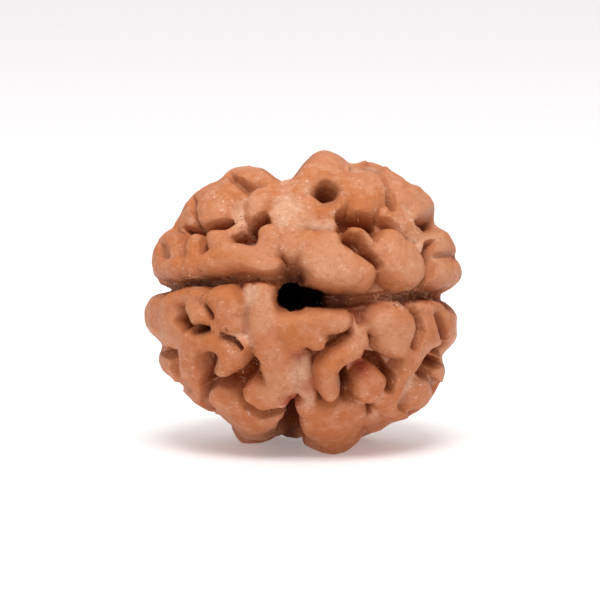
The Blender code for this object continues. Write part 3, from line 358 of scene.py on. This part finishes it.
def front_run(run):
    """A run on the front, whose middle stands nearer to the eye: rows of place, half width and height."""
    stations = []
    for across, up, width, height in run:
        inside = max(0.0, 1.0 - (across / HALF[0]) ** 2 - (up / HALF[2]) ** 2)
        larger = 1.0 + FACE_REACH * inside
        stations.append((*onto_form(across * larger, up * larger), width, height))
    return "front", np.array(stations)


def half_turned(run, rng):
    """The same run on the back, after a half turn about Z, shifted so that both hole mouths agree."""
    stations = run[1]
    own = from_view(stations[:, :3]) * (-1.0, -1.0, 1.0)
    fade = 1.0 - np.clip(np.abs(own[:, 0]) / HALF[0], 0.0, 1.0) ** 2
    own[:, 0] += 2.0 * HOLE_ACROSS * fade
    own += rng.normal(0.0, BACK_SHIFT, own.shape)
    own *= (1.0 / np.linalg.norm(own / HALF, axis=1))[:, None]
    return "back", np.column_stack([to_view(own), stations[:, 3:]])


def from_above(run, side):
    """A run given by where it is seen from above; side is +1 for the crown, -1 for the underside."""
    stations = []
    for across, along, width, height in run:
        up = side * HALF[2] * math.sqrt(1.0 - (across / HALF[0]) ** 2 - (along / HALF[1]) ** 2)
        stations.append((*to_view(np.array([[across, along, up]]))[0], width, height))
    return "round", np.array(stations)


def side_creases(rng):
    """Short curved creases spread evenly round the bead's rim, each crossing the lobes that run over it."""
    runs = []
    for index in range(SIDE_CREASES):
        bearing = 2.0 * math.pi * (index + rng.uniform(-0.4, 0.4)) / SIDE_CREASES
        latitude = math.radians(rng.uniform(*SIDE_LATITUDES))
        length = rng.uniform(0.9, 1.7)
        lean = rng.uniform(-0.9, 0.9)
        width = rng.uniform(0.35, 0.55)
        deep = rng.uniform(0.9, 1.3)
        stations = []
        for along in (-1.0, 0.0, 1.0):
            turn = bearing + along * length * math.cos(lean) / HALF[0]
            rise = latitude + along * length * math.sin(lean) / HALF[1] + 0.05 * along * along
            flat = math.cos(rise)
            place = np.array([math.cos(turn) * flat, math.sin(rise), math.sin(turn) * flat])
            own = from_view(place[None])
            own /= np.linalg.norm(own / HALF)
            narrowed = width * (1.0 - 0.4 * abs(along))
            shallowed = deep * (1.0 - 0.3 * abs(along))
            stations.append((*to_view(own)[0], narrowed, shallowed))
        runs.append(("round", np.array(stations)))
    return runs


def mukhi_lines(rng):
    """The two lines, each from a mouth of the hole round one side to the other mouth, and both mouths."""
    left = front_run(LEFT_LINE)
    right = front_run(RIGHT_LINE)
    mouth = front_run(HOLE_MOUTH)
    far_left = half_turned(right, rng)[1][::-1]
    far_right = half_turned(left, rng)[1][::-1]
    left_round = ("round", np.vstack([left[1], LEFT_TURN, far_left]))
    right_round = ("round", np.vstack([right[1], RIGHT_TURN, far_right]))
    return [left_round, right_round, mouth, half_turned(mouth, rng)]


def all_runs():
    """Every ridge, pit, line and crease of the front, the back and the parts between."""
    rng = np.random.default_rng(BACK_SEED)
    front = [front_run(run) for run in RIDGES]
    ridges = front + [half_turned(run, rng) for run in front]
    ridges += [from_above(run, 1) for run in CROWN] + [from_above(run, -1) for run in UNDERSIDE]
    pits = [front_run(run) for run in PITS]
    pits += [half_turned(run, rng) for run in pits] + [front_run(CLEFT)]
    lines = mukhi_lines(rng)
    creases = [front_run(run) for run in CREASES]
    creases += [half_turned(run, rng) for run in creases] + side_creases(np.random.default_rng(SIDE_SEED))
    return ridges, pits, lines, creases


def seen_from(points):
    """The points as each kind of run meets them: straight through its face, or in space."""
    found = {"round": points}
    outward = np.hypot(points[:, 0] / HALF[0], points[:, 2] / HALF[2])
    inward = 1.0 - RIM_REACH * np.clip((outward - 0.8) / 0.2, 0.0, 1.0) ** 1.5
    for face, sign in (("front", 1.0), ("back", -1.0)):
        beyond = np.clip(sign * points[:, 1], 0.0, None) * DEPTH_SQUASH
        found[face] = np.column_stack([points[:, 0] * inward, beyond, points[:, 2] * inward])
    return found


def along_run(found, run, reach=1.3):
    """The points near a run, with their distance over half width and the height there, stretch by stretch."""
    face, stations = run
    points = found[face]
    if face != "round":
        stations = stations * (1.0, 0.0, 1.0, 1.0, 1.0)
    wide = stations[:, 3].max() * reach
    low = stations[:, :3].min(axis=0) - wide
    high = stations[:, :3].max(axis=0) + wide
    near = np.flatnonzero(np.all((points > low) & (points < high), axis=1))
    points = points[near]
    ratio = np.full(len(near), 9.0)
    height = np.zeros(len(near))
    for start, end in zip(stations[:-1], stations[1:]):
        step = end[:3] - start[:3]
        t = np.clip((points - start[:3]) @ step / (step @ step), 0.0, 1.0)
        away = np.linalg.norm(points - start[:3] - t[:, None] * step, axis=1)
        own = away / (start[3] + t * (end[3] - start[3]))
        better = own < ratio
        ratio[better] = own[better]
        height[better] = (start[4] + t * (end[4] - start[4]))[better]
    return near, ratio, height


def smooth(low, high, values):
    """0 at low, 1 at high, and an even curve between."""
    t = np.clip((values - low) / (high - low), 0.0, 1.0)
    return t * t * (3.0 - 2.0 * t)


def noise_at(points, length, seed):
    """Soft noise of about -1 to 1 at points, with lumps of about that length in millimetres."""
    shift = Vector((seed * 17.3, seed * 5.1, seed * 9.7))
    return np.array([noise.noise(Vector(p) / length + shift) for p in points])


def outline_gain(view, latitude):
    """How far the drawn outline moves each place out or in: fully at the rim, not at all on the faces."""
    bearing = np.arctan2(view[:, 2], view[:, 0])
    drawn = np.array(OUTLINE)
    drawn_bearing = np.arctan2(drawn[:, 1], drawn[:, 0])
    order = np.argsort(drawn_bearing)
    rim_up = math.hypot(HALF[2] * math.cos(VIEW_TILT), HALF[1] * math.sin(VIEW_TILT))
    plain = 1.0 / np.hypot(np.cos(drawn_bearing) / HALF[0], np.sin(drawn_bearing) / rim_up)
    ratio = np.hypot(drawn[:, 0], drawn[:, 1]) / plain
    gain = np.mean([np.interp(bearing + turn, drawn_bearing[order], ratio[order], period=2.0 * math.pi)
                    for turn in ROUNDING], axis=0)
    return 1.0 + (gain - 1.0) * np.exp(-((latitude / OUTLINE_BAND) ** 2))


def surface(directions):
    """The stone's surface along directions from its middle, in millimetres, and what each place is like."""
    ridges, pits, lines, creases = all_runs()
    form = directions / np.linalg.norm(directions / HALF, axis=1)[:, None]
    view = to_view(form)
    latitude = np.degrees(np.arctan2(view[:, 1], np.hypot(view[:, 0], view[:, 2])))
    rim = np.exp(-((latitude / RIM_BAND) ** 2))

    noise.seed_set(WANDER_SEED)
    moved = np.array([noise.noise_vector(Vector(p) / WANDER_LENGTH) for p in view])
    found = seen_from(view + WANDER * moved)
    # Round ridges rise from the floor of the valleys, each blended with those that it meets
    depth = np.full(len(view), FLOOR_DEPTH)
    for run in ridges:
        near, ratio, height = along_run(found, run)
        ratio = np.clip(ratio / FULLNESS, 0.0, 1.0)
        fall = 1.0 - (1.0 - ratio ** SHOULDER) ** (1.0 / SHOULDER)
        own = (FLOOR_DEPTH + height) * fall - height
        soft = BLEND * np.clip((FLOOR_DEPTH - own) / 0.3, 0.0, 1.0) + 1e-6
        overlap = np.clip(soft - np.abs(depth[near] - own), 0.0, None)
        depth[near] = np.minimum(depth[near], own) - overlap ** 2 / (4.0 * soft)
    # Folds on the far side, and a calmer rim
    far = smooth(*FAR_SIDE, view[:, 1]) * smooth(*ABOVE_FOOT, view[:, 2])
    from_fold = np.abs(noise_at(view, FOLD_LENGTH, 3))
    soft_fold = SOFT_FOLD[0] * np.clip(1.0 - from_fold / SOFT_FOLD[1], 0.0, 1.0)
    sharp_fold = SHARP_FOLD[0] * np.clip(1.0 - from_fold / SHARP_FOLD[1], 0.0, 1.0) ** 1.5
    depth += far * (soft_fold + sharp_fold)
    depth *= 1.0 - RIM_CALM * rim
    # Pits, then the two lines with the mouths of the hole, then the fine creases
    hollow = np.zeros(len(view))
    for run in pits:
        near, ratio, deep = along_run(found, run)
        sunk = 1.0 - smooth(*PIT_WALL, ratio)
        depth[near] += sunk * np.clip(deep - depth[near], 0.0, None)
        hollow[near] = np.maximum(hollow[near], smooth(1.25, 0.7, ratio) * smooth(0.9, 2.0, deep))
    bore = np.zeros(len(view))
    groove = np.zeros(len(view))
    for run in lines:
        near, ratio, deep = along_run(found, run)
        sunk = 1.0 - smooth(*LINE_WALL, ratio)
        depth[near] += sunk * np.clip(deep - depth[near], 0.0, None)
        groove[near] = np.maximum(groove[near], smooth(1.25, 0.8, ratio))
        bore[near] = np.maximum(bore[near], smooth(1.15, 0.85, ratio) * smooth(1.95, 2.35, deep))
    for run in creases:
        near, ratio, deep = along_run(found, run)
        sunk = (1.0 - np.clip(ratio, 0.0, 1.0) ** 2) ** 1.5
        depth[near] += sunk * np.clip(deep - depth[near], 0.0, None)
    depth += sum(height * noise_at(view, length, seed) for height, length, seed in PORES)
    reach = np.linalg.norm(form, axis=1) * outline_gain(view, latitude) - depth
    # What each place is like, for the skin: spots lie on the front and on the back, but not on the rim
    marks = {"depth": depth, "hollow": hollow, "groove": groove, "bore": bore}
    on_face = np.abs(view[:, 1]) > 0.5
    for name, spots in (("blush", BLUSHES), ("stain_and_shade", STAINS_AND_SHADE), ("fade", FADES), ("flake", FLAKES)):
        marks[name] = np.zeros(len(view))
        for across, up, size, strength in spots:
            away = np.hypot(view[:, 0] - across, view[:, 2] - up) / size
            marks[name] = np.maximum(marks[name], strength * np.exp(-away ** 2) * on_face)
    return directions * reach[:, None], marks


bpy.ops.object.select_all(action="DESELECT")
bpy.ops.mesh.primitive_ico_sphere_add(subdivisions=FINENESS, radius=1.0)
stone = bpy.context.object
stone.name = "stone"
directions = np.empty(len(stone.data.vertices) * 3)
stone.data.vertices.foreach_get("co", directions)
directions = directions.reshape(-1, 3)
directions /= np.linalg.norm(directions, axis=1)[:, None]
places, marks = surface(directions)

cad_low, cad_high = (np.array(corner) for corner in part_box("bead"))
low, high = places.min(axis=0) * MM, places.max(axis=0) * MM
middle = np.append((cad_low + cad_high - low - high)[:2] / 2, cad_high[2] - high[2])
places = places * MM + middle
stone.data.vertices.foreach_set("co", places.ravel())
for name, values in marks.items():
    stone.data.attributes.new(name, "FLOAT", "POINT").data.foreach_set("value", values)
stone.data.update()


def finish(obj, kind, **settings):
    """Add a modifier to a piece and apply it."""
    modifier = obj.modifiers.new(kind.lower(), kind)
    for key, value in settings.items():
        setattr(modifier, key, value)
    bpy.context.view_layer.objects.active = obj
    bpy.ops.object.modifier_apply(modifier=modifier.name)


finish(stone, "SMOOTH", factor=0.5, iterations=SMOOTHING)
on_far_side = (places[:, 1] > middle[1] + 0.5 * MM) & (places[:, 2] > FOOT * MM)
worn = stone.vertex_groups.new(name="worn")
worn.add(np.flatnonzero(on_far_side).tolist(), 1.0, "REPLACE")
finish(stone, "SMOOTH", factor=0.5, iterations=WEAR, vertex_group="worn")
stone.vertex_groups.clear()
finish(stone, "DECIMATE", ratio=TRIANGLES / len(stone.data.polygons))

# The hole is drilled straight through, and the lowest lobes are kept level with the floor
DRILL_LENGTH = 0.03
hole_place = Vector((HOLE_ACROSS * MM, 0.0, HOLE_UP * MM)) + Vector(middle)
hole_place.y = 0.0
bpy.ops.object.select_all(action="DESELECT")
bpy.ops.mesh.primitive_cylinder_add(vertices=48, radius=HOLE_RADIUS * MM, depth=DRILL_LENGTH,
                                    location=hole_place, rotation=(math.pi / 2, 0.0, 0.0))
drill = bpy.context.object
drill.name = "drill"
finish(stone, "BOOLEAN", operation="DIFFERENCE", solver="MANIFOLD", object=drill)
bpy.data.objects.remove(drill)
for vertex in stone.data.vertices:
    vertex.co.z = max(vertex.co.z, 0.0)
stone.data.shade_smooth()


def read_mark(name):
    """A mark of every vertex of the stone."""
    values = np.empty(len(stone.data.vertices), np.float32)
    stone.data.attributes[name].data.foreach_get("value", values)
    return values


def write_mark(name, values):
    """Set a mark of every vertex of the stone."""
    if name not in stone.data.attributes:
        stone.data.attributes.new(name, "FLOAT", "POINT")
    stone.data.attributes[name].data.foreach_set("value", np.asarray(values, np.float32))


def spread_out(values, edges, times):
    """Values averaged with those of their neighbours, a number of times."""
    count = np.bincount(edges.ravel(), minlength=len(values)) + 1.0
    for _ in range(times):
        near = np.bincount(edges[:, 0], values[edges[:, 1]], len(values))
        near += np.bincount(edges[:, 1], values[edges[:, 0]], len(values))
        values = (values + near) / count
    return values


# Marks that the skin reads: how far each place faces up, lies in a nook, or is a pale valley or a flank; the
# nook and flank marks set painted shade
NOOK_SPREAD = 60
co = np.empty(len(stone.data.vertices) * 3)
stone.data.vertices.foreach_get("co", co)
co = co.reshape(-1, 3)
edges = np.empty(len(stone.data.edges) * 2, np.int32)
stone.data.edges.foreach_get("vertices", edges)
edges = edges.reshape(-1, 2)
normals = np.array([vertex.normal for vertex in stone.data.vertices])
write_mark("up", normals[:, 2])
depth = read_mark("depth")
# The nook mark sets painted shade in hollows and creases, and also where threads gather
write_mark("nook", depth - spread_out(depth.astype(float), edges, NOOK_SPREAD))
form_normals = (co - middle) / MM / HALF ** 2
form_normals /= np.linalg.norm(form_normals, axis=1)[:, None]
facing = (normals * form_normals).sum(axis=1)
sunken = np.maximum(read_mark("hollow"), read_mark("groove"))
pale = smooth(0.15, 0.45, depth) * smooth(0.6, 0.9, facing) * (1.0 - sunken)
write_mark("pale", spread_out(pale, edges, 4))
# Painted shade on the steep flanks of the ridges
write_mark("flank_shade", spread_out(smooth(0.92, 0.55, facing), edges, 2))
from_axis = np.hypot(co[:, 0] - hole_place.x, co[:, 2] - hole_place.z)
write_mark("bore", np.maximum(read_mark("bore"), from_axis < HOLE_RADIUS * MM * 1.02))
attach(stone, "root")
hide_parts("bead")


# The skin of the stone: bare dry shell, unpolished. It is worn orange tan on the lobes, with painted shade on
# their flanks and in the nooks, paler and fuzzy in the valleys where fibres of the pulp stay, red brown in
# the pits with painted shade there, painted shade as near black in the drilled hole, and pale specks that
# serve as painted glints.
ROSY_TAN = (0.65, 0.27, 0.135)
ORANGE_TAN = (0.58, 0.18, 0.056)
PALE_BLOTCH = (0.74, 0.37, 0.22)
DARK_GRAIN = (0.45, 0.13, 0.045)
FLANK_PAINTED_SHADE = (0.44, 0.135, 0.045)
VALLEY_FUZZ = (0.77, 0.44, 0.285)
NOOK_PAINTED_SHADE = (0.35, 0.105, 0.038)
SPECK_AND_GLINT = (0.92, 0.68, 0.54)
RED_BLUSH = (0.40, 0.065, 0.030)
PIT_RED_AND_SHADE = (0.31, 0.055, 0.010)
LINE_BROWN_AND_SHADE = (0.44, 0.13, 0.045)
DEEP_PAINTED_SHADE = (0.10, 0.020, 0.006)
PULP_STAIN_AND_SHADE = (0.085, 0.018, 0.005)
PULP_FLAKE = (0.92, 0.56, 0.40)
HOLE_PAINTED_SHADE = (0.004, 0.002, 0.0015)
GRAIN_HEIGHT = 0.00016


def stone_skin():
    """The material of the stone, laid on by the marks that its mesh carries."""
    material = bpy.data.materials.new("stone_skin")
    material.use_nodes = True
    nodes, links = material.node_tree.nodes, material.node_tree.links
    shader = nodes["Principled BSDF"]
    place = nodes.new("ShaderNodeTexCoord")

    def mark(name):
        """One of the marks that were written to the mesh."""
        node = nodes.new("ShaderNodeAttribute")
        node.attribute_name = name
        return node.outputs["Fac"]

    def grain(scale, detail=2.0, rough=0.5, long=1.0):
        """Noise fixed to the stone, drawn out across it where long is over 1."""
        drawn_out = nodes.new("ShaderNodeMapping")
        drawn_out.inputs["Scale"].default_value = (1.0 / long, 1.0, 1.0)
        links.new(place.outputs["Object"], drawn_out.inputs["Vector"])
        node = nodes.new("ShaderNodeTexNoise")
        links.new(drawn_out.outputs["Vector"], node.inputs["Vector"])
        node.inputs["Scale"].default_value = scale
        node.inputs["Detail"].default_value = detail
        node.inputs["Roughness"].default_value = rough
        return node.outputs["Fac"]

    def math_node(kind, a, b=0.0, clamp=False):
        """Arithmetic on two outputs or numbers."""
        node = nodes.new("ShaderNodeMath")
        node.operation = kind
        node.use_clamp = clamp
        for socket, value in zip(node.inputs, (a, b)):
            if isinstance(value, (int, float)):
                socket.default_value = value
            else:
                links.new(value, socket)
        return node.outputs[0]

    def spread(value, low, high, out_low=0.0, out_high=1.0):
        """A value carried smoothly from one range to another."""
        node = nodes.new("ShaderNodeMapRange")
        node.interpolation_type = "SMOOTHSTEP"
        links.new(value, node.inputs["Value"])
        for key, number in (("From Min", low), ("From Max", high), ("To Min", out_low), ("To Max", out_high)):
            node.inputs[key].default_value = number
        return node.outputs["Result"]

    def mix(share, under, over):
        """One colour laid over another by a share."""
        node = nodes.new("ShaderNodeMix")
        node.data_type = "RGBA"
        links.new(share, node.inputs[0])
        for socket, value in ((node.inputs[6], under), (node.inputs[7], over)):
            if isinstance(value, tuple):
                socket.default_value = (*value, 1.0)
            else:
                links.new(value, socket)
        return node.outputs[2]

    patchy = grain(230.0, 3.0)
    blotchy = grain(900.0, 4.0, 0.65)
    fine = grain(3000.0, 5.0, 0.7)
    specks = grain(5500.0, 2.0)
    strings = grain(5000.0, 3.0, 0.6, 5.0)
    lift = math_node("MULTIPLY", math_node("SUBTRACT", blotchy, 0.5), 0.9)
    fuzz = math_node("MULTIPLY", math_node("SUBTRACT", fine, 0.5), 1.2)
    uneven = math_node("ADD", lift, fuzz)

    # The shell itself: rosy to orange, pale in blotches, dark in its grain, and painted shade on the flanks
    # of the ridges
    turned_up = math_node("MULTIPLY", math_node("ABSOLUTE", mark("up")), 0.10)
    orange = math_node("ADD", patchy, turned_up)
    colour = mix(spread(orange, 0.40, 0.62), ROSY_TAN, ORANGE_TAN)
    colour = mix(spread(blotchy, 0.42, 0.68, 0.0, 0.45), colour, PALE_BLOTCH)
    colour = mix(spread(fine, 0.50, 0.30, 0.0, 0.5), colour, DARK_GRAIN)
    colour = mix(spread(mark("flank_shade"), 0.0, 1.0, 0.0, 0.6), colour, FLANK_PAINTED_SHADE)

    # Fuzz in the valleys, painted shade in the nooks, and pale specks with painted glints
    faded = math_node("ADD", math_node("ADD", mark("pale"), mark("fade")), uneven)
    colour = mix(spread(faded, 0.2, 1.3, 0.0, 0.85), colour, VALLEY_FUZZ)
    nook = math_node("ADD", mark("nook"), math_node("MULTIPLY", uneven, 0.12))
    # Painted shade in the nooks
    colour = mix(spread(nook, 0.0, 0.32, 0.0, 0.9), colour, NOOK_PAINTED_SHADE)
    # Pale grains of the shell that also serve as painted glints, stronger in the faded patches
    glint_share = math_node("MULTIPLY", spread(specks, 0.62, 0.70), spread(blotchy, 0.47, 0.58))
    glint_boost = math_node("ADD", math_node("MULTIPLY", mark("fade"), 1.4), 0.4)
    glint_share = math_node("MULTIPLY", glint_share, glint_boost, clamp=True)
    colour = mix(glint_share, colour, SPECK_AND_GLINT)

    # Dried pulp and painted shade: red pulp with painted shade in the pits, brown pulp with painted shade in
    # the lines, painted shade deeper down, dark stains with painted shade in the darkest pits and the cleft,
    # pale flakes, and painted shade as black in the hole
    colour = mix(mark("blush"), colour, RED_BLUSH)
    # Red pulp in the pits, with painted shade on their walls
    pit = math_node("ADD", mark("hollow"), math_node("MULTIPLY", uneven, 0.5))
    pit = math_node("MULTIPLY", pit, spread(mark("hollow"), 0.0, 0.1))
    colour = mix(spread(pit, 0.0, 0.9, 0.0, 0.9), colour, PIT_RED_AND_SHADE)
    # Brown pulp and painted shade in the two lines
    colour = mix(spread(mark("groove"), 0.1, 1.0, 0.0, 0.8), colour, LINE_BROWN_AND_SHADE)
    # Painted shade: darker the deeper a place lies
    colour = mix(spread(mark("depth"), 1.6, 2.6), colour, DEEP_PAINTED_SHADE)
    # Dark pulp stains, and painted shade in the darkest pits and the cleft
    colour = mix(mark("stain_and_shade"), colour, PULP_STAIN_AND_SHADE)
    flaked = math_node("MULTIPLY", mark("flake"), spread(strings, 0.44, 0.58))
    colour = mix(flaked, colour, PULP_FLAKE)
    # Painted shade: the drilled hole is painted near black
    colour = mix(spread(mark("bore"), 0.15, 0.75), colour, HOLE_PAINTED_SHADE)

    # A little worn gloss on the shell, none in the pits and the hole
    dull = math_node("ADD", spread(fine, 0.3, 0.7, 0.32, 0.58), mark("bore"))
    links.new(math_node("ADD", dull, mark("hollow"), clamp=True), shader.inputs["Roughness"])
    links.new(spread(mark("bore"), 0.0, 0.5, 0.22, 0.0), shader.inputs["Specular IOR Level"])
    links.new(colour, shader.inputs["Base Color"])

    bump = nodes.new("ShaderNodeBump")
    bump.inputs["Strength"].default_value = 1.0
    bump.inputs["Distance"].default_value = GRAIN_HEIGHT
    links.new(fine, bump.inputs["Height"])
    links.new(bump.outputs["Normal"], shader.inputs["Normal"])
    return material


stone.data.materials.clear()
stone.data.materials.append(stone_skin())


# The fibres: dry threads of pulp that the brush left in the two lines, the pits and the pale valleys. One
# thread is modelled as a thin tapered tube and laid over the stone, thick in the lines and in the tufts.
THREADS = 4200
THREAD_LENGTH = (0.12, 0.5)
THREAD_RADIUS = (0.012, 0.030)
THREAD_FLATNESS = (1.0, 3.0)
THREAD_SEED = 3
CLEAR_OF_HOLE = 1.35
THREAD_BROWN = (0.24, 0.065, 0.022, 1.0)
THREAD_STRAW = (0.86, 0.46, 0.27, 1.0)

# Tufts on the front: across, up, radius, how thick
TUFTS = [
    (-6.5, 1.1, 0.8, 5.0), (-4.6, 1.4, 0.8, 1.0), (5.8, 0.15, 0.9, 5.0), (7.4, 0.3, 0.5, 3.0),
    (-3.4, 3.75, 0.45, 5.0), (-6.1, -1.7, 0.4, 3.0), (-4.4, -2.2, 0.7, 2.0), (-5.4, -3.6, 0.4, 3.0),
    (0.0, -3.2, 0.4, 1.5), (-1.1, -6.3, 0.4, 2.0), (2.5, -4.9, 0.4, 1.5), (-0.6, 1.75, 0.5, 0.6),
    (3.2, -0.3, 0.5, 1.0),
]

bpy.ops.object.select_all(action="DESELECT")
bpy.ops.mesh.primitive_cone_add(vertices=3, radius1=1.0, radius2=0.35, depth=1.0, end_fill_type="NOTHING")
thread = bpy.context.object
bpy.ops.object.mode_set(mode="EDIT")
bpy.ops.mesh.select_all(action="SELECT")
bpy.ops.transform.translate(value=(0.0, 0.0, 0.5))
# The long edges of the tube are cut, so that it can bend
bpy.ops.mesh.select_mode(type="EDGE")
bpy.ops.mesh.select_all(action="DESELECT")
bpy.ops.object.mode_set(mode="OBJECT")
for edge in thread.data.edges:
    foot, tip = (thread.data.vertices[corner].co.z for corner in edge.vertices)
    edge.select = abs(foot - tip) > 0.5
bpy.ops.object.mode_set(mode="EDIT")
bpy.ops.mesh.subdivide(number_cuts=4)
bpy.ops.object.mode_set(mode="OBJECT")
shape = np.array([vertex.co for vertex in thread.data.vertices])
faces = [np.array(polygon.vertices) for polygon in thread.data.polygons]
bpy.data.objects.remove(thread)

# The chance of a thread at each place: high in the tufts and the lines, some in the valleys, none at the hole
seen = to_view((co - middle) / MM)
tuft = np.zeros(len(co))
for across, up, size, thick in TUFTS:
    away = np.hypot(seen[:, 0] - across, seen[:, 2] - up) / size
    tuft = np.maximum(tuft, thick * np.exp(-away ** 2) * (seen[:, 1] < 0.0))
stain_and_shade_at_root = read_mark("stain_and_shade")
nooks = np.clip(read_mark("nook"), 0.0, 0.3)
chance = (0.02 + sunken * 0.25) * (0.3 + tuft) + 0.05 * read_mark("pale") + 0.25 * tuft * nooks
chance *= (1.0 - read_mark("bore")) * (from_axis > CLEAR_OF_HOLE * MM)
rng = np.random.default_rng(THREAD_SEED)
roots = rng.choice(len(co), THREADS, p=chance / chance.sum())

# Each thread lies on the surface, arched and swayed, and is left out where it would pass the solid's box
points = []
polygons = []
shades = []
for root in roots:
    normal = normals[root]
    along = np.cross(normal, rng.normal(size=3))
    along /= np.linalg.norm(along)
    across = np.cross(normal, along)
    loose = min(1.0, 0.25 + sunken[root] + 0.4 * tuft[root])
    length = rng.uniform(*THREAD_LENGTH) * loose * MM
    thick = rng.uniform(*THREAD_RADIUS) * MM
    flat = rng.uniform(*THREAD_FLATNESS)
    rise = rng.uniform(0.02, 0.3) * loose
    sway = rng.uniform(-0.9, 0.9)
    z = shape[:, 2]
    height = 4.0 * rise * z * (1.0 - z) - 0.03
    place = (along * (z * length)[:, None] + normal * (height * length)[:, None]
             + across * (sway * z * z * length)[:, None]
             + across * (shape[:, 0] * thick * flat)[:, None] + normal * (shape[:, 1] * thick)[:, None])
    place += co[root]
    if np.any(place < cad_low) or np.any(place > cad_high):
        continue
    start = len(points) * len(shape)
    points.append(place)
    polygons += [tuple(int(corner) for corner in face + start) for face in faces]
    # Threads are darker where the stone has pulp stains and painted shade
    shades.append(np.full(len(shape), rng.uniform(0.1, 1.0) ** 1.5 * (1.0 - stain_and_shade_at_root[root])))
fibre_mesh = bpy.data.meshes.new("fibres")
fibre_mesh.from_pydata(np.vstack(points).tolist(), [], polygons)
fibre_mesh.attributes.new("shade", "FLOAT", "POINT").data.foreach_set("value", np.concatenate(shades))
fibres = bpy.data.objects.new("fibres", fibre_mesh)
bpy.context.scene.collection.objects.link(fibres)
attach(fibres, "root")

fibre_skin = bpy.data.materials.new("fibre_skin")
fibre_skin.use_nodes = True
fibre_nodes = fibre_skin.node_tree.nodes
shade_node = fibre_nodes.new("ShaderNodeAttribute")
shade_node.attribute_name = "shade"
ramp = fibre_nodes.new("ShaderNodeMix")
ramp.data_type = "RGBA"
ramp.inputs[6].default_value = THREAD_BROWN
ramp.inputs[7].default_value = THREAD_STRAW
fibre_skin.node_tree.links.new(shade_node.outputs["Fac"], ramp.inputs[0])
fibre_skin.node_tree.links.new(ramp.outputs[2], fibre_nodes["Principled BSDF"].inputs["Base Color"])
fibre_nodes["Principled BSDF"].inputs["Roughness"].default_value = 0.7
fibre_nodes["Principled BSDF"].inputs["Specular IOR Level"].default_value = 0.1
fibres.data.materials.append(fibre_skin)


# The floor: a plain pale sheet of matt paper that the bead stands on. It glows faintly, as paper under even
# light does, so that it stays pale right up to the bead.
bpy.ops.object.select_all(action="DESELECT")
bpy.ops.mesh.primitive_plane_add(size=3.0, location=(0.0, 0.0, 0.0))
floor = bpy.context.object
floor.name = "floor"
pale_sheet = bpy.data.materials.new("pale_sheet")
pale_sheet.use_nodes = True
sheet_shader = pale_sheet.node_tree.nodes["Principled BSDF"]
sheet_shader.inputs["Base Color"].default_value = (0.78, 0.765, 0.775, 1.0)
sheet_shader.inputs["Roughness"].default_value = 0.8
sheet_shader.inputs["Emission Color"].default_value = (1.0, 0.95, 0.94, 1.0)
sheet_shader.inputs["Emission Strength"].default_value = 0.26
floor.data.materials.append(pale_sheet)


# The light: a small key light above and in front of the bead, a wide one behind it that brightens the floor,
# and an even white tent all round.
AIM = Vector((0.0, 0.0, 0.008))


def soft_light(name, place, size, power):
    """An area light at a place, aimed at the stone."""
    light = bpy.data.lights.new(name, "AREA")
    light.size = size
    light.energy = power
    obj = bpy.data.objects.new(name, light)
    bpy.context.scene.collection.objects.link(obj)
    obj.location = place
    obj.rotation_euler = (AIM - Vector(place)).to_track_quat("-Z", "Y").to_euler()


soft_light("key_light", (0.0, -0.17, 0.36), 0.18, 1.22)
soft_light("sky_light", (0.0, 0.35, 0.80), 1.5, 6.0)
world = bpy.data.worlds.new("white_tent")
bpy.context.scene.world = world
world.use_nodes = True
world.node_tree.nodes["Background"].inputs["Color"].default_value = (1.0, 1.0, 1.0, 1.0)
world.node_tree.nodes["Background"].inputs["Strength"].default_value = 0.30
bpy.context.scene.view_settings.view_transform = "Standard"

# The camera: it looks slightly down at the front, close up. The whole frame is 35.7 mm wide at the bead.
FRAME_PIXELS = 600
BEAD_PIXEL = (303.5, 300.5)
PIXELS_A_MM = 16.8
DISTANCE = 0.25
camera_data = bpy.data.cameras.new("camera")
camera = bpy.data.objects.new("camera", camera_data)
bpy.context.scene.collection.objects.link(camera)
towards = Vector((0.0, -math.cos(VIEW_TILT), math.sin(VIEW_TILT)))
camera.location = Vector(middle) + towards * DISTANCE
camera.rotation_euler = (-towards).to_track_quat("-Z", "Y").to_euler()
camera_data.sensor_width = 36.0
camera_data.lens = camera_data.sensor_width * DISTANCE / (FRAME_PIXELS / PIXELS_A_MM * MM)
camera_data.shift_x = (FRAME_PIXELS / 2 - BEAD_PIXEL[0]) / FRAME_PIXELS
camera_data.shift_y = -(FRAME_PIXELS / 2 - BEAD_PIXEL[1]) / FRAME_PIXELS
bpy.context.scene.camera = camera
